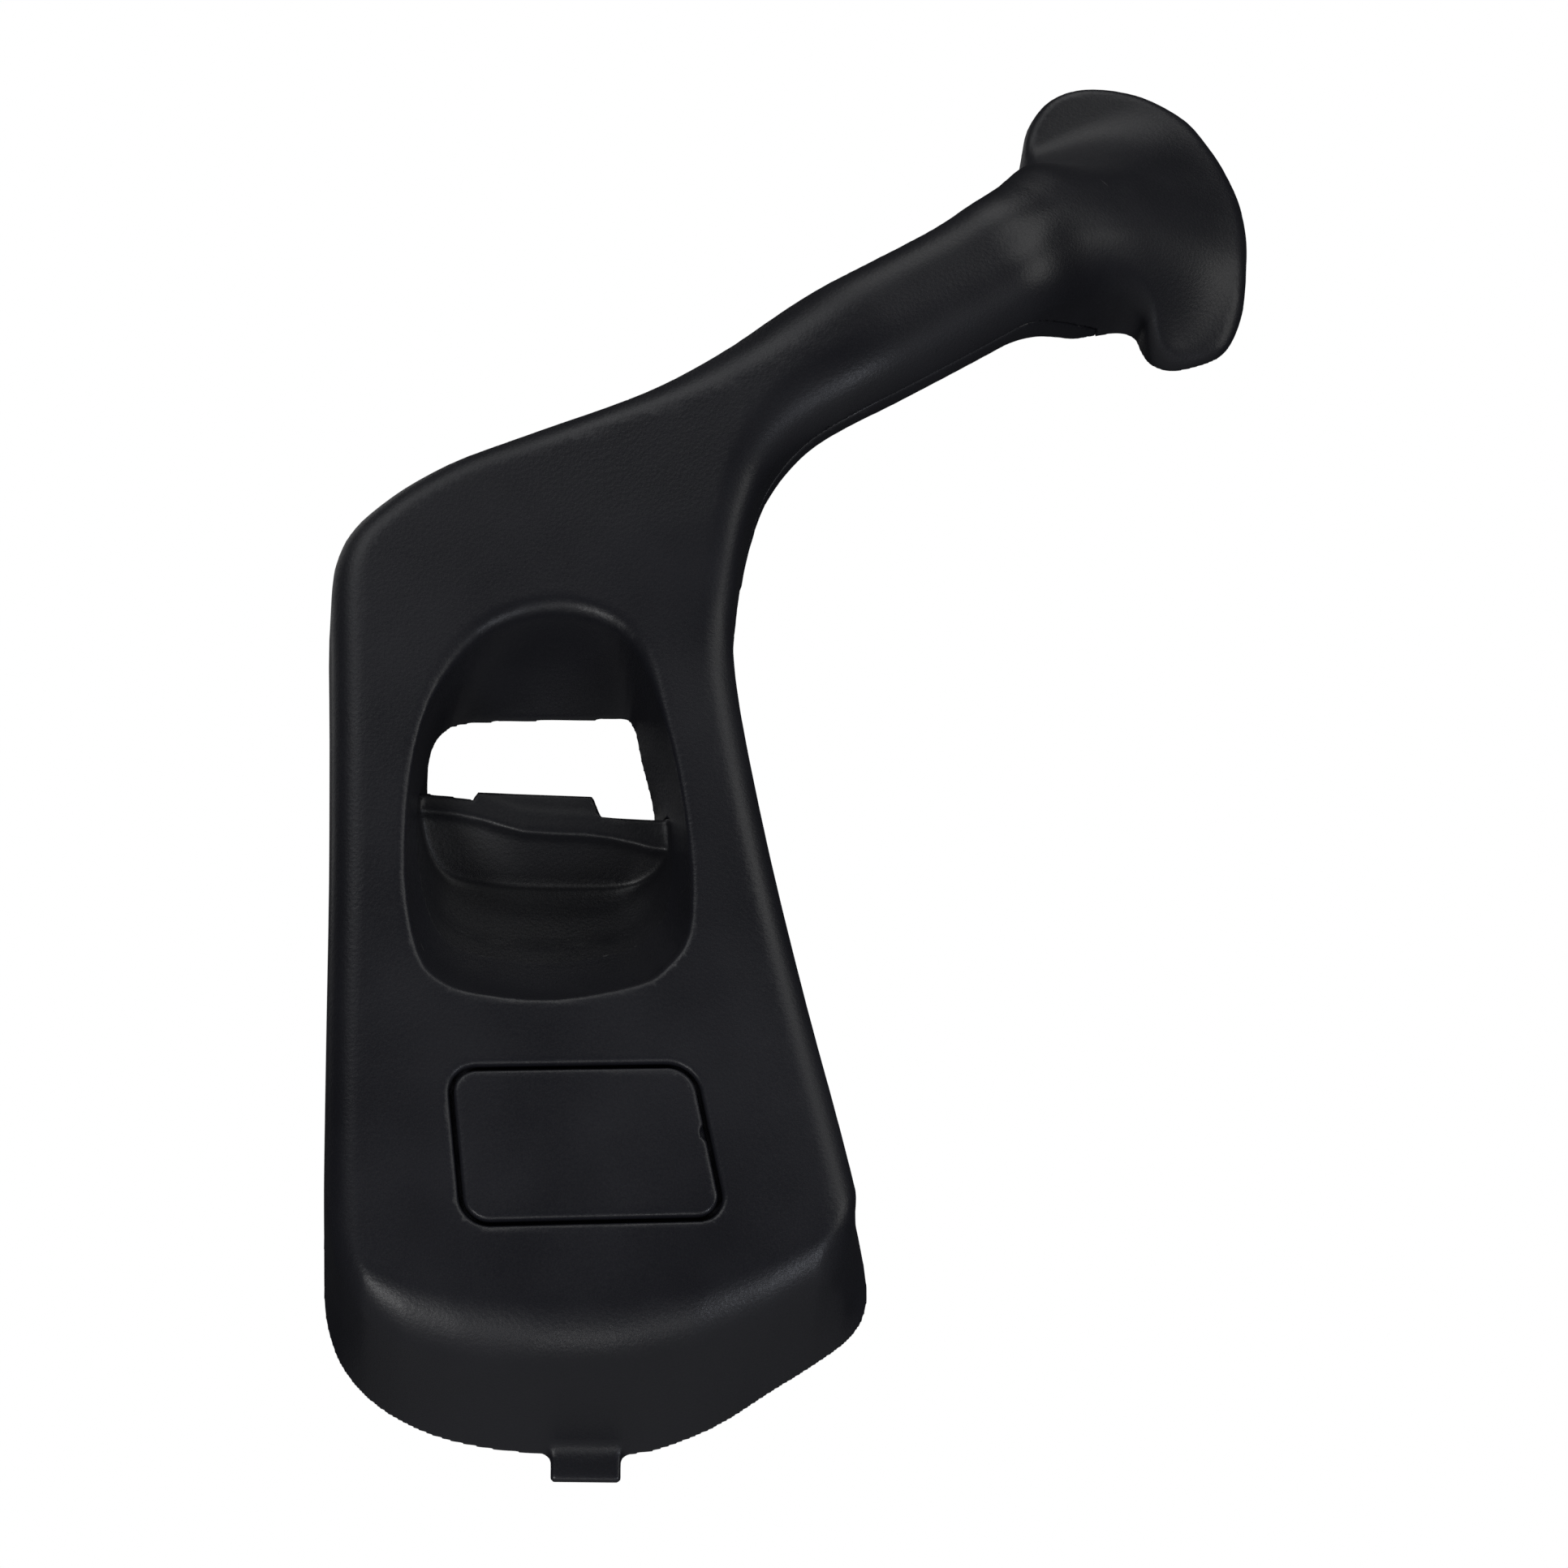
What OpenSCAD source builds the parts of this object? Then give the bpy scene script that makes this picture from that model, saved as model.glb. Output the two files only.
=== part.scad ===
// Interior car door pull handle: a moulded panel with a grab arm and a flared foot,
// a finger cup below the lever opening, a snap-in screw cover and the steel inside.
// Shapes are drawn facing the reader: x to the right, y up, z outwards from the door.
// facing() then stands them up, so that +Z is up and the door lies on the plane Y = 0.

/* [Shell] */
// Distance from the door to the panel's front face
panel_d = 29; // [28:0.5:30]
// Wall thickness of the moulded shells
wall = 2.6; // [2.4:0.1:2.8]
// Gap between mouldings that meet
seam = 0.15; // [0.1:0.05:0.3]

/* [Screw cover] */
// Width of the gap around the screw cover
cover_gap = 0.9; // [0.7:0.1:1.2]
// Thickness of the screw cover's plate
cover_t = 2.6; // [2.2:0.1:3]

/* [Mounting] */
// Distance between the two mounting screws
screw_pitch = 26; // [24:0.5:28]
// Diameter of the mounting screws
screw_d = 6; // [5:1:6]
// How far the mounting screws stand out behind the door plane
screw_reach = 14; // [10:1:20]
// Diameter of the steel core rod
core_d = 8; // [6:0.5:8]

/* [Hidden] */

plastic = [0.13, 0.13, 0.15];
dark_plastic = [0.1, 0.1, 0.11];
steel = [0.6, 0.61, 0.63];
foam = [0.2, 0.2, 0.2];
$fn = 40;

// Stations of the moulding, from the panel's lower end to the tip of the foot.
// Each one is a cut across it: left point, right point, rise of the front over panel_d,
// depth of the seam with the back shell, depth of the back, crest position from 0 to 1,
// squareness and flank of its profile.
stations = [
    [[-9, -53], [10, -53], -27, 0, 0, 0.5, 5, 0.3],
    [[-22, -51.3], [20, -50.3], -24, 0, 0, 0.5, 5, 0.3],
    [[-31, -48.5], [28, -46.5], -19.5, 0, 0, 0.5, 5, 0.3],
    [[-38.5, -44.2], [36, -41.2], -13.5, 0, 0, 0.5, 5, 0.3],
    [[-44, -38.8], [44.5, -35.8], -7, 0, 0, 0.5, 6, 0.2],
    [[-47.2, -33], [51.5, -30.6], -2.8, 0, 0, 0.5, 7, 0.15],
    [[-49, -26], [55, -25], -0.7, 0, 0, 0.5, 8, 0.125],
    [[-49.6, -16], [54.8, -16], 0, 0, 0, 0.5, 8, 0.125],
    [[-50.3, 5], [50, 5], 0, 0, 0, 0.5, 8, 0.125],
    [[-51, 30], [43.5, 30], 0, 0, 0, 0.5, 8, 0.125],
    [[-51.8, 60], [36.4, 60], 0, 0, 0, 0.5, 8, 0.125],
    [[-53, 90], [30.5, 90], 0, 0, 0, 0.5, 8, 0.125],
    [[-54, 110], [28.8, 105], 0, 0, 0, 0.5, 8, 0.125],
    [[-53, 121], [29.3, 114], 0.5, 0, 0, 0.5, 8, 0.125],
    [[-50, 127.5], [30.2, 120.5], 1, 0, 0, 0.5, 8, 0.125],
    [[-44.5, 133.3], [31.2, 126], 1.8, 0, 0, 0.5, 7, 0.15],
    [[-37.5, 138.8], [32.6, 131], 3, 2, 0, 0.5, 6, 0.18],
    [[-27.5, 144.6], [34.3, 135.7], 4.5, 6, 0, 0.5, 5, 0.22],
    [[-13, 150.4], [36.8, 139.6], 6.5, 12, 3, 0.5, 4, 0.27],
    [[0, 154.8], [39.7, 142.8], 9, 18, 8, 0.5, 3.4, 0.3],
    [[12, 159.4], [43, 145.6], 11.5, 24, 14, 0.5, 3, 0.33],
    [[25, 166], [47.2, 148.2], 14, 30, 19, 0.5, 2.8, 0.36],
    [[37, 173.6], [51.5, 150.6], 16, 33, 22, 0.5, 2.6, 0.385],
    [[57.6, 186], [72, 163], 17, 34, 22, 0.5, 2.6, 0.385],
    [[70.5, 194.5], [85.5, 171.5], 16, 33, 21, 0.5, 2.6, 0.385],
    [[80.8, 204.9], [97.6, 177.7], 13, 26, 13, 0.55, 2.4, 0.5],
    [[87.6, 216.7], [108.9, 182.3], 8, 14, 3, 0.59, 2.2, 0.8],
    [[90.7, 226.9], [118.1, 182.7], 3, 3, 0, 0.6, 2, 1.3],
    [[94.4, 239.8], [129.9, 182.6], -5, 0, 0, 0.6, 2, 1.6],
    [[102.2, 246.2], [136.4, 191.1], -13, 0, 0, 0.6, 2, 1.6],
    [[112.2, 247.3], [139, 204.1], -19, 0, 0, 0.65, 2, 1.6],
    [[121.5, 243.7], [138.4, 216.5], -23, 0, 0, 0.65, 2, 1.6],
    [[131.7, 233.5], [136.4, 225.8], -25.5, 0, 0, 0.6, 2, 1.6]
];
arm_from = 16;   // first station with a seam
foot_from = 27;  // first station of the flared foot
last = len(stations) - 1;
foot_edge = 3.5; // thickness of the foot's rim

// Where the profile is sampled, from the crest out to the edge
across = [0, 0.3, 0.6, 0.8, 0.91, 0.975, 1];
draft = 2;       // how far each side wall leans in over its height

// The steel rod's centre line, inside the panel's right side, the arm and the foot
core_path = [
    [39, -8, 9.3], [38.6, 8, 9.3], [35.2, 25, 9.6], [29.2, 45, 10], [24.6, 65, 10.5],
    [21.4, 85, 11], [19.8, 102, 12], [20.2, 120, 15], [25.3, 138, 21.3], [35, 154, 28.7],
    [48, 164, 33.7], [71.3, 178.4, 34.7], [90, 190, 30.6], [101, 197, 21], [107, 200.8, 11],
    [109.5, 202.4, 7.4]
];

// Outline of the recess where it meets the panel's front, clockwise from the top
recess_rim = [
    [-7, 109], [2.5, 106.5], [8.5, 99.5], [13.5, 87], [17, 72], [19.2, 55], [18.8, 42],
    [10.5, 32.5], [-6.5, 28.5], [-25, 30.5], [-33.5, 38.5], [-35.7, 53], [-35.3, 73],
    [-32, 88.5], [-25, 100.3], [-17, 106.8]
];
// The same outline where the recess ends at the back, point for point
recess_foot = [
    [-9, 95.5], [1, 95.4], [8, 94.5], [10.8, 86], [12.5, 76], [13, 66], [12.5, 60],
    [8, 57], [-8, 56.5], [-24, 57], [-31, 60.5], [-31.8, 68], [-31.9, 79],
    [-31, 89], [-27, 94.6], [-18, 95.5]
];
recess_centre = [-8.5, 72];
recess_back = 3;     // depth of the recess floor
cup_top = 76;        // the cup closes the recess below this height
cup_seam = 14;       // depth at which the panel's skirt meets the cup
skirt = 2.2;         // thickness of the skirt and the cup

cover_corners = [[-26.5, 15], [20.3, 16.6], [26.7, -13.6], [-22.8, -15.6]];
cover_r = 5.5;
ledge_w = 3.2;       // ledge that the screw cover rests on
pocket_floor = 8;    // depth of the screw pocket's floor
bracket_z = 2.9;     // back of the steel bracket
bracket_t = 2.3;
sleeve_r = 5;
stud_at = [114, 214];
stud_head_t = 2.5;
plate_z = 0.9;       // back of the steel foot plate
plate_t = 2.4;

arm_origin = [45.8, 162.6];
arm_angle = 31.8;
shell_screw_at = [arm_xy(8, 7.3), arm_xy(36, -7.3), arm_xy(-16, 5)];
shell_screw_seat = [24.5, 24.5, 17.5];
boss_r = 2.6;
cup_screw_at = [[-42, 58], [-20, 32.5], [5, 33.5]];
bracket_screw_at = [[31, 9], [31, -8]];
// Each clip: place and turn
clips = [[-43, 108, 0], [-43, 22, 0], [45, -23, 0], [-24, -36, 90], [-14, 134, 90]];
clip_w = 8;

function arm_xy(s, t) = arm_origin
    + s * [cos(arm_angle), sin(arm_angle)] + t * [-sin(arm_angle), cos(arm_angle)];
function lerp(a, b, t) = a + (b - a) * t;
function spline(p0, p1, p2, p3, t) =
    0.5 * (2 * p1 + (p2 - p0) * t + (2 * p0 - 5 * p1 + 4 * p2 - p3) * t * t
    + (3 * p1 - p0 - 3 * p2 + p3) * t * t * t);
function closed_spline(pts, m) = let (n = len(pts)) [
    for (i = [0:n - 1], k = [0:m - 1])
        spline(pts[(i + n - 1) % n], pts[i], pts[(i + 1) % n], pts[(i + 2) % n], k / m)
];
function open_spline(pts, m) = let (n = len(pts)) [
    for (i = [0:n - 2], k = [0:m - (i == n - 2 ? 0 : 1)])
        spline(pts[max(i - 1, 0)], pts[i], pts[i + 1], pts[min(i + 2, n - 1)], k / m)
];
function unit(v) = v / norm(v);
function side(v) = [v[1], -v[0]];

// Moves each edge of a clockwise polygon inwards by w and rounds its corners with radius r
function inset_corner(p, q, s, w) = let (
    a = unit(q - p), b = unit(s - q), c = a * side(b), k = 1 + a * b
) q + (side(a) + side(b)) * w / k;
function rounded(pts, r, w = 0, m = 6) = let (
    n = len(pts),
    c = [for (i = [0:n - 1]) inset_corner(pts[(i + n - 1) % n], pts[i], pts[(i + 1) % n], w)]
) [
    for (i = [0:n - 1]) let (
        p = c[(i + n - 1) % n], q = c[i], s = c[(i + 1) % n],
        a = unit(p - q), b = unit(s - q), half = acos(a * b) / 2,
        reach = r / tan(half), centre = q + unit(a + b) * r / sin(half),
        from = q + a * reach - centre, to = q + b * reach - centre,
        sweep = 180 - 2 * half
    ) for (k = [0:m]) centre
        + (from * sin(sweep * (1 - k / m)) + to * sin(sweep * k / m)) / sin(sweep)
];

// One cut across the moulding. base is its flat side and crest the depth it rises to.
function profile(st, base, crest, edge, inset) = let (
    along = unit(st[1] - st[0]), left = st[0] + along * inset, right = st[1] - along * inset,
    mid = lerp(left, right, st[5]), dir = crest > base ? 1 : -1,
    rise = max(abs(crest - base) - edge, 0.4),
    us = [for (i = [6:-1:0]) -across[i], for (i = [1:6]) across[i]]
) [
    [left[0], left[1], base],
    for (u = us) let (
        k = pow(max(1 - pow(abs(u), st[6]), 0), st[7]), h = edge + rise * (k > 0.995 ? 1 : k),
        end = u < 0 ? left : right, lean = draft * h / (rise + edge) / norm(end - mid),
        p = mid + (end - mid) * abs(u) * (1 - lean)
    ) [p[0], p[1], base + dir * h],
    [right[0], right[1], base]
];

// Joins rings of points, each with the same number, into a closed solid
module loft(rings, flip = false) {
    n = len(rings[0]);
    m = len(rings);
    walls = [
        for (j = [0:m - 2], i = [0:n - 1]) let (a = j * n + i, b = j * n + (i + 1) % n)
            each [[a, b, b + n], [a, b + n, a + n]]
    ];
    caps = [[for (i = [n - 1:-1:0]) i], [for (i = [0:n - 1]) (m - 1) * n + i]];
    faces = concat(walls, caps);
    polyhedron(
        [for (r = rings) each r],
        flip ? faces : [for (f = faces) [for (i = [len(f) - 1:-1:0]) f[i]]],
        convexity = 6
    );
}

// Stands the drawing up in the row's frame
module facing() {
    rotate([90, 0, 0]) children();
}

module at_depth(from, to) {
    translate([0, 0, from]) linear_extrude(height = to - from) children();
}

module rod_at(xy, from, to, r) {
    translate([xy[0], xy[1], from]) cylinder(h = to - from, r = r);
}

module front_outer() {
    loft([for (i = [0:last]) let (st = stations[i])
        profile(st, st[3], panel_d + st[2], i < arm_from ? 0.8 : i < foot_from ? 0.5 : foot_edge, 0)]);
}

module front_inner() {
    up = [0, 2.4];
    loft([for (i = [1:last - 3]) let (
        st = stations[i], lifted = i < 7 ? [st[0] + up, st[1] + up] : [st[0], st[1]],
        cut = [lifted[0], lifted[1], st[2], st[3], st[4], st[5], st[6], st[7]]
    ) profile(cut, st[3] - 1, max(panel_d + st[2] - wall, st[3]), 0.8, i < foot_from - 2 ? wall : 6)]);
}

// Outline of the recess at a depth, with extra room around it
function recess_ring(z, grow) = let (
    k = max(min((panel_d - z) / (panel_d - recess_back), 1), 0),
    rim = closed_spline(recess_rim, 2), foot = closed_spline(recess_foot, 2)
) [for (i = [0:len(rim) - 1]) let (
    p = lerp(rim[i], foot[i], k), out = unit(p - recess_centre)
) [p[0] + out[0] * grow, p[1] + out[1] * grow, z]];

module recess(grow, from, to) {
    levels = [to, for (z = [panel_d, recess_back]) if (z < to && z > from) z, from];
    loft([for (z = levels) recess_ring(z, grow)]);
}

module recess_mouth() {
    loft([recess_ring(panel_d + 2, 4), recess_ring(panel_d - 0.3, 1.9), recess_ring(panel_d - 3.4, -0.3)]);
}

module skirt_wall() {
    difference() {
        recess(skirt, recess_back, panel_d - 1);
        translate([-60, -60, -5]) cube([120, 60 + cup_top, 5 + cup_seam]);
    }
}

module screw_pocket() {
    at_depth(pocket_floor - wall, panel_d - 1) polygon(rounded(cover_corners, 4.4, ledge_w - 2));
    at_depth(panel_d - cover_t - 2.5, panel_d - 1) polygon(rounded(cover_corners, 7.3, -1.8));
}

module screw_pocket_hollow() {
    at_depth(pocket_floor, panel_d + 2) polygon(rounded(cover_corners, 2.4, ledge_w));
    at_depth(panel_d - cover_t - 0.1, panel_d + 2) polygon(rounded(cover_corners, cover_r));
}

// Blade that a spring clip slides onto, with its feet inside the panel
module clip_blade(c) {
    translate([c[0], c[1], -4]) rotate(c[2]) {
        translate([-1.1, -clip_w / 2, 0]) cube([2.2, clip_w, 40]);
        translate([-5, -0.8, 9]) cube([10, 1.6, 31]);
    }
}

module ribs() {
    for (y = [-24, 20]) translate([-60, y, 15]) cube([120, 1.6, 30]);
    translate([-60, 118, 15]) cube([73, 1.6, 30]);
    translate([-1, 112, 16]) cube([1.6, 40, 30]);
}

// The front moulding shrunk by half its wall, which trims everything inside it
module front_limit() {
    loft([for (i = [0:last - 1]) let (st = stations[i])
        profile(st, st[3] - 8, panel_d + st[2] - wall / 2, 0.8, i < foot_from - 2 ? wall / 2 : 2.5)]);
}

// Everything moulded in one with the panel's front
module bezel_moulding() {
    difference() {
        union() {
            difference() {
                front_outer();
                front_inner();
                at_depth(-1, 3.4) polygon(foot_pocket(6));
            }
            skirt_wall();
            screw_pocket();
            intersection() {
                front_limit();
                union() {
                    ribs();
                    for (c = clips) clip_blade(c);
                    for (p = cup_screw_at) rod_at(p, cup_seam + seam, panel_d, 3);
                    for (p = bracket_screw_at) rod_at(p, bracket_z + bracket_t + 0.05, panel_d, 3.2);
                    for (i = [0:2]) rod_at(shell_screw_at[i], shell_seam(i) + seam, 50, boss_r);
                }
            }
            // Locating tongue that hooks into the door trim
            translate([-5, -58.2, 0.3]) cube([13, 10, 2.3]);
        }
        recess(0, -6, panel_d + 1);
        recess_mouth();
        screw_pocket_hollow();
        for (x = [-1, 1]) rod_at([x * screw_pitch / 2, 0], 0, 12, sleeve_r + 0.05);
        for (p = cup_screw_at) rod_at(p, cup_seam - 2, cup_seam + 7, 1.2);
        for (p = bracket_screw_at) rod_at(p, 3, 16, 1.2);
        for (i = [0:2]) rod_at(shell_screw_at[i], shell_seam(i) - 1, shell_seam(i) + 7.5, 1.2);
    }
}

// The moulding's free-form surfaces and its bosses are one mesh
module bezel_cover() {
    color(plastic) resize([0, 0, 0]) bezel_moulding();
}

function shell_seam(i) = [33.3, 33.3, 27][i];
function foot_pocket(w) = rounded([[98, 240], [124, 238], [134, 214], [131, 190], [114, 186]], 7, w - 4);

module grab_back_shell() {
    color(plastic) difference() {
        union() {
            difference() {
                loft([for (i = [arm_from + 1:foot_from - 1]) let (st = stations[i])
                    profile(st, st[3] - seam, st[4], 0.5, 0)], flip = true);
                loft([for (i = [arm_from + 3:foot_from - 2]) let (st = stations[i])
                    profile(st, st[3] + 1, st[4] + wall, 0.5, wall)], flip = true);
            }
            for (i = [0:2]) rod_at(shell_screw_at[i], shell_screw_seat[i] - 0.5, shell_seam(i) - seam, boss_r);
        }
        for (i = [0:2]) {
            rod_at(shell_screw_at[i], 5, shell_screw_seat[i] + 1.5, 2.75);
            rod_at(shell_screw_at[i], 5, 45, 1.6);
        }
    }
}

module finger_cup() {
    color(dark_plastic) difference() {
        union() {
            intersection() {
                difference() {
                    recess(skirt, 0.8, cup_seam - seam);
                    recess(0, recess_back, cup_seam + 1);
                }
                translate([-60, -20, 0]) cube([120, 20 + cup_top - 0.4, 30]);
            }
            // Lip and ceiling of the finger pocket
            intersection() {
                translate([-40, 0, 0]) rotate([90, 0, 90]) linear_extrude(height = 60)
                    polygon([[72.5, 13], [66.3, 13], [60.6, 3], [56, 3], [56, 0.8], [63, 0.8],
                        [68.6, 10.7], [72.5, 10.7]]);
                recess(0.6, 0.8, 13);
            }
            intersection() {
                at_depth(10.8, 12.9) polygon([[-36, 73.9], [-23.4, 73.4], [-22.9, 75.9], [0.8, 75.5],
                    [1.6, 72.2], [18, 71.2], [18, 63.6], [12, 64.6], [2, 66.4], [-9, 66.8],
                    [-19, 69.2], [-27, 70.4], [-36, 71]]);
                recess(0.6, 0.8, 13);
            }
            // Flange that the screws hold against the panel
            difference() {
                at_depth(cup_seam - 2.6, cup_seam - seam) polygon([[-46, 64], [-37, 71], [-28, 50],
                    [8, 50], [15, 60], [19.5, 60], [18.5, 40], [9, 29.3], [-24, 28.3],
                    [-38, 40], [-46, 52]]);
                recess(0, recess_back, cup_seam + 1);
            }
        }
        for (p = cup_screw_at) rod_at(p, 5, 20, 1.6);
    }
}

module screw_cover() {
    color(plastic) difference() {
        union() {
            at_depth(panel_d - cover_t, panel_d) polygon(rounded(cover_corners, cover_r - cover_gap, cover_gap));
            // Snap tongues
            for (p = [[-20.3, -8], [-21.8, 5], [19.1, -8], [16.3, 5]])
                translate([p[0], p[1], panel_d - 10]) cube([1.6, 6, 9]);
            // Stiffening ribs
            translate([-15, -0.8, panel_d - 5]) cube([28, 1.6, 4]);
        }
        // Notch for prising the cover out
        translate([23.4, 2.2, panel_d - 1.2]) cube([3, 1.6, 3]);
    }
}

module steel_core() {
    path = open_spline(core_path, 4);
    n = len(path);
    sides = 12;
    color(steel) loft([for (i = [0:n - 1]) let (
        t = unit(path[min(i + 1, n - 1)] - path[max(i - 1, 0)]),
        a = unit(cross(t, [0.53, -0.85, 0.1])), b = cross(t, a)
    ) [for (k = [0:sides - 1]) path[i] + (a * cos(360 * k / sides) + b * sin(360 * k / sides)) * core_d / 2]]);
}

module lower_bracket() {
    color(steel) difference() {
        at_depth(bracket_z, bracket_z + bracket_t)
            polygon(rounded([[-24, 13], [42, 16], [46, -13], [-24, -13]], 5));
        for (x = [-1, 1]) rod_at([x * screw_pitch / 2, 0], 0, 12, sleeve_r + 0.05);
        for (p = bracket_screw_at) rod_at(p, 0, 12, 1.7);
        rod_at([0, 0], 0, 12, 4);
    }
}

module foot_plate() {
    color(steel) difference() {
        at_depth(plate_z, plate_z + plate_t) polygon(foot_pocket(6.5));
        rod_at(stud_at, 0, 10, screw_d / 2 - 0.18);
    }
}

// Stud pressed into the foot plate, standing out behind the door plane
module foot_stud() {
    color(steel) {
        translate([stud_at[0], stud_at[1], -screw_reach]) {
            cylinder(h = 1, r1 = screw_d / 2 - 0.9, r2 = screw_d / 2, $fn = 32);
            translate([0, 0, 1]) cylinder(h = screw_reach - 1, r = screw_d / 2);
        }
        rod_at(stud_at, 0, plate_z + plate_t + 1, screw_d / 2 - 0.2);
        rod_at(stud_at, plate_z + plate_t + 0.02, plate_z + plate_t + stud_head_t, 5.5);
    }
}

module foot_pad() {
    color(foam) difference() {
        at_depth(0.05, plate_z - 0.05) polygon(foot_pocket(7));
        rod_at(stud_at, -1, 5, screw_d / 2 + 1);
    }
}

module mounting_sleeve(side) {
    color(steel) difference() {
        union() {
            rod_at([side * screw_pitch / 2, 0], 0, pocket_floor + 1, sleeve_r);
            rod_at([side * screw_pitch / 2, 0], pocket_floor + 0.05, pocket_floor + 1, 6.5);
        }
        rod_at([side * screw_pitch / 2, 0], -1, 20, screw_d / 2 + 0.3);
    }
}

module mounting_screws() {
    color(steel) for (x = [-1, 1]) translate([x * screw_pitch / 2, 0, 0]) {
        seat = pocket_floor + 2.25;
        difference() {
            union() {
                translate([0, 0, -screw_reach + 1]) cylinder(h = screw_reach - 1, r = screw_d / 2);
                translate([0, 0, -0.1]) cylinder(h = seat + 1, r = screw_d / 2 - 0.2);
                translate([0, 0, -screw_reach]) cylinder(h = 1, r1 = screw_d / 2 - 0.9, r2 = screw_d / 2, $fn = 32);
                translate([0, 0, seat]) cylinder(h = 1.4, r = 6);
                translate([0, 0, seat + 1]) cylinder(h = 4.6, r = 5.6, $fn = 6);
            }
            translate([0, 0, seat + 4]) cylinder(h = 3, r = 3.4);
        }
    }
}

module mounting_washers() {
    color(steel) for (x = [-1, 1]) translate([x * screw_pitch / 2, 0, pocket_floor + 1.02])
        difference() {
            cylinder(h = 1.2, r = 6.4);
            translate([0, 0, -1]) cylinder(h = 4, r = screw_d / 2 + 0.2);
        }
}

// Pan-head self-tapping screw driven outwards, its head's top at depth seat - 2
module tapping_screw(xy, seat, length) {
    translate([xy[0], xy[1], seat]) difference() {
        union() {
            cylinder(h = length, r = 1.15);
            translate([0, 0, -1.9]) cylinder(h = 1.9, r = 2.6);
        }
        for (a = [0, 90]) rotate(a) translate([-1.5, -0.3, -2.5]) cube([3, 0.6, 1.6]);
    }
}

module shell_screws() {
    color(steel) for (i = [0:2])
        tapping_screw(shell_screw_at[i], shell_screw_seat[i] + 1.45, shell_seam(i) - shell_screw_seat[i] + 5);
}

module cup_screws() {
    color(steel) for (p = cup_screw_at) tapping_screw(p, cup_seam - 2.65, 8.5);
}

module bracket_screws() {
    color(steel) for (p = bracket_screw_at) tapping_screw(p, bracket_z - 0.05, 12);
}

// Sheet steel clip, open towards the panel and barbed towards the door
module spring_clip(c) {
    outline = [[2.05, 5], [2.05, 0.5], [3.6, -3.5], [1.3, -9], [-1.3, -9], [-3.6, -3.5],
        [-2.05, 0.5], [-2.05, 5], [-1.3, 5], [-1.3, 0.5], [-2.8, -3.4], [-0.8, -8.2],
        [0.8, -8.2], [2.8, -3.4], [1.3, 0.5], [1.3, 5]];
    color(steel) translate([c[0], c[1], 0]) rotate(c[2]) translate([0, (clip_w - 1) / 2, 0])
        rotate([90, 0, 0]) linear_extrude(height = clip_w - 1) polygon(outline);
}

module cup_foam_pad() {
    color(foam) at_depth(0.05, 0.75) translate([-22, 56.5]) square([26, 5.5]);
}

facing() {
    bezel_cover();
    grab_back_shell();
    finger_cup();
    screw_cover();
    steel_core();
    lower_bracket();
    foot_plate();
    foot_stud();
    foot_pad();
    mounting_sleeve(-1);  // mounting_sleeve_left
    mounting_sleeve(1);  // mounting_sleeve_right
    mounting_screws();
    mounting_washers();
    shell_screws();
    cup_screws();
    bracket_screws();
    for (i = [0:4]) spring_clip(clips[i]);
    cup_foam_pad();
}
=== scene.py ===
"""An interior car door pull handle: a moulded panel with a grab arm and a flared foot.

The mouldings are drawn as fields of signed distance in millimetres, positive inside the plastic,
over x to the right, z up and d outwards from the door, and each field is meshed where it is zero.
Screws and clips are Geometry Nodes, and the flat steel and foam are the CAD's own solids, softened.
"""

import math

import bmesh
import bpy
import numpy as np
import openvdb
from bpy.props import FloatProperty, FloatVectorProperty, PointerProperty
from mathutils import Matrix, Vector


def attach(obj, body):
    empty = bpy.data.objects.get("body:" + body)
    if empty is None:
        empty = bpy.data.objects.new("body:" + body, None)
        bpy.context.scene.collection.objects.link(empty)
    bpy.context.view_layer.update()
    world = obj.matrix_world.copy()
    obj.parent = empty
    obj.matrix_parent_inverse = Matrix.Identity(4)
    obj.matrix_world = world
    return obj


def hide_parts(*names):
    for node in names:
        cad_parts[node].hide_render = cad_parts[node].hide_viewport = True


bl_info = {
    "name": "Door Pull Handle",
    "version": (1, 0, 0),
    "blender": (4, 5, 0),
    "location": "View3D > Sidebar > Pull Handle",
    "description": "Builds a car's interior pull handle round its packed CAD frame",
    "category": "Object",
}

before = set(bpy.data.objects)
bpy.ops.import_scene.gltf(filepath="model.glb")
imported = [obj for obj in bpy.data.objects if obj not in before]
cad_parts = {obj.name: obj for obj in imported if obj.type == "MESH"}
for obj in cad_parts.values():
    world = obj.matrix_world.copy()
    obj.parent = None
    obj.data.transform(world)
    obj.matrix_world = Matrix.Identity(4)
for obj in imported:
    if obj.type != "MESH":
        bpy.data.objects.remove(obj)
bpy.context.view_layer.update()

MM = 0.001
BODY = "handle_body"
COVER_BODY = "screw_cover_body"

# Depths out from the door
PANEL_FRONT = 29.0
RECESS_FLOOR = 3.0
CUP_SEAM = 14.0
# How near the joint between front moulding and finger cup both are shaded as one surface
JOINT_BAND = 0.35
# How far those two reach past the joint, so that no light shows through it
JOINT_OVERLAP = 0.1
# Gap between other mouldings that meet, thickness of the ribs and width of the fillets at their feet
SEAM = 0.15
RIB = 1.6
FILLET = 0.8
POCKET_FLOOR = 8.0
FOOT_RIM = 3.4
# The arm: rise of its front over the panel, fall of its front to the foot, depth of its back and of its seam
ARM_RISE = 17.0
ARM_FALL = 44.5
ARM_BACK = 22.0
ARM_SEAM = 34.0

# The arm runs from ARM_START in the direction ARM_ALONG
ARM_START = (45.8, 162.6)
ARM_ALONG = (0.85, 0.527)

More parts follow.
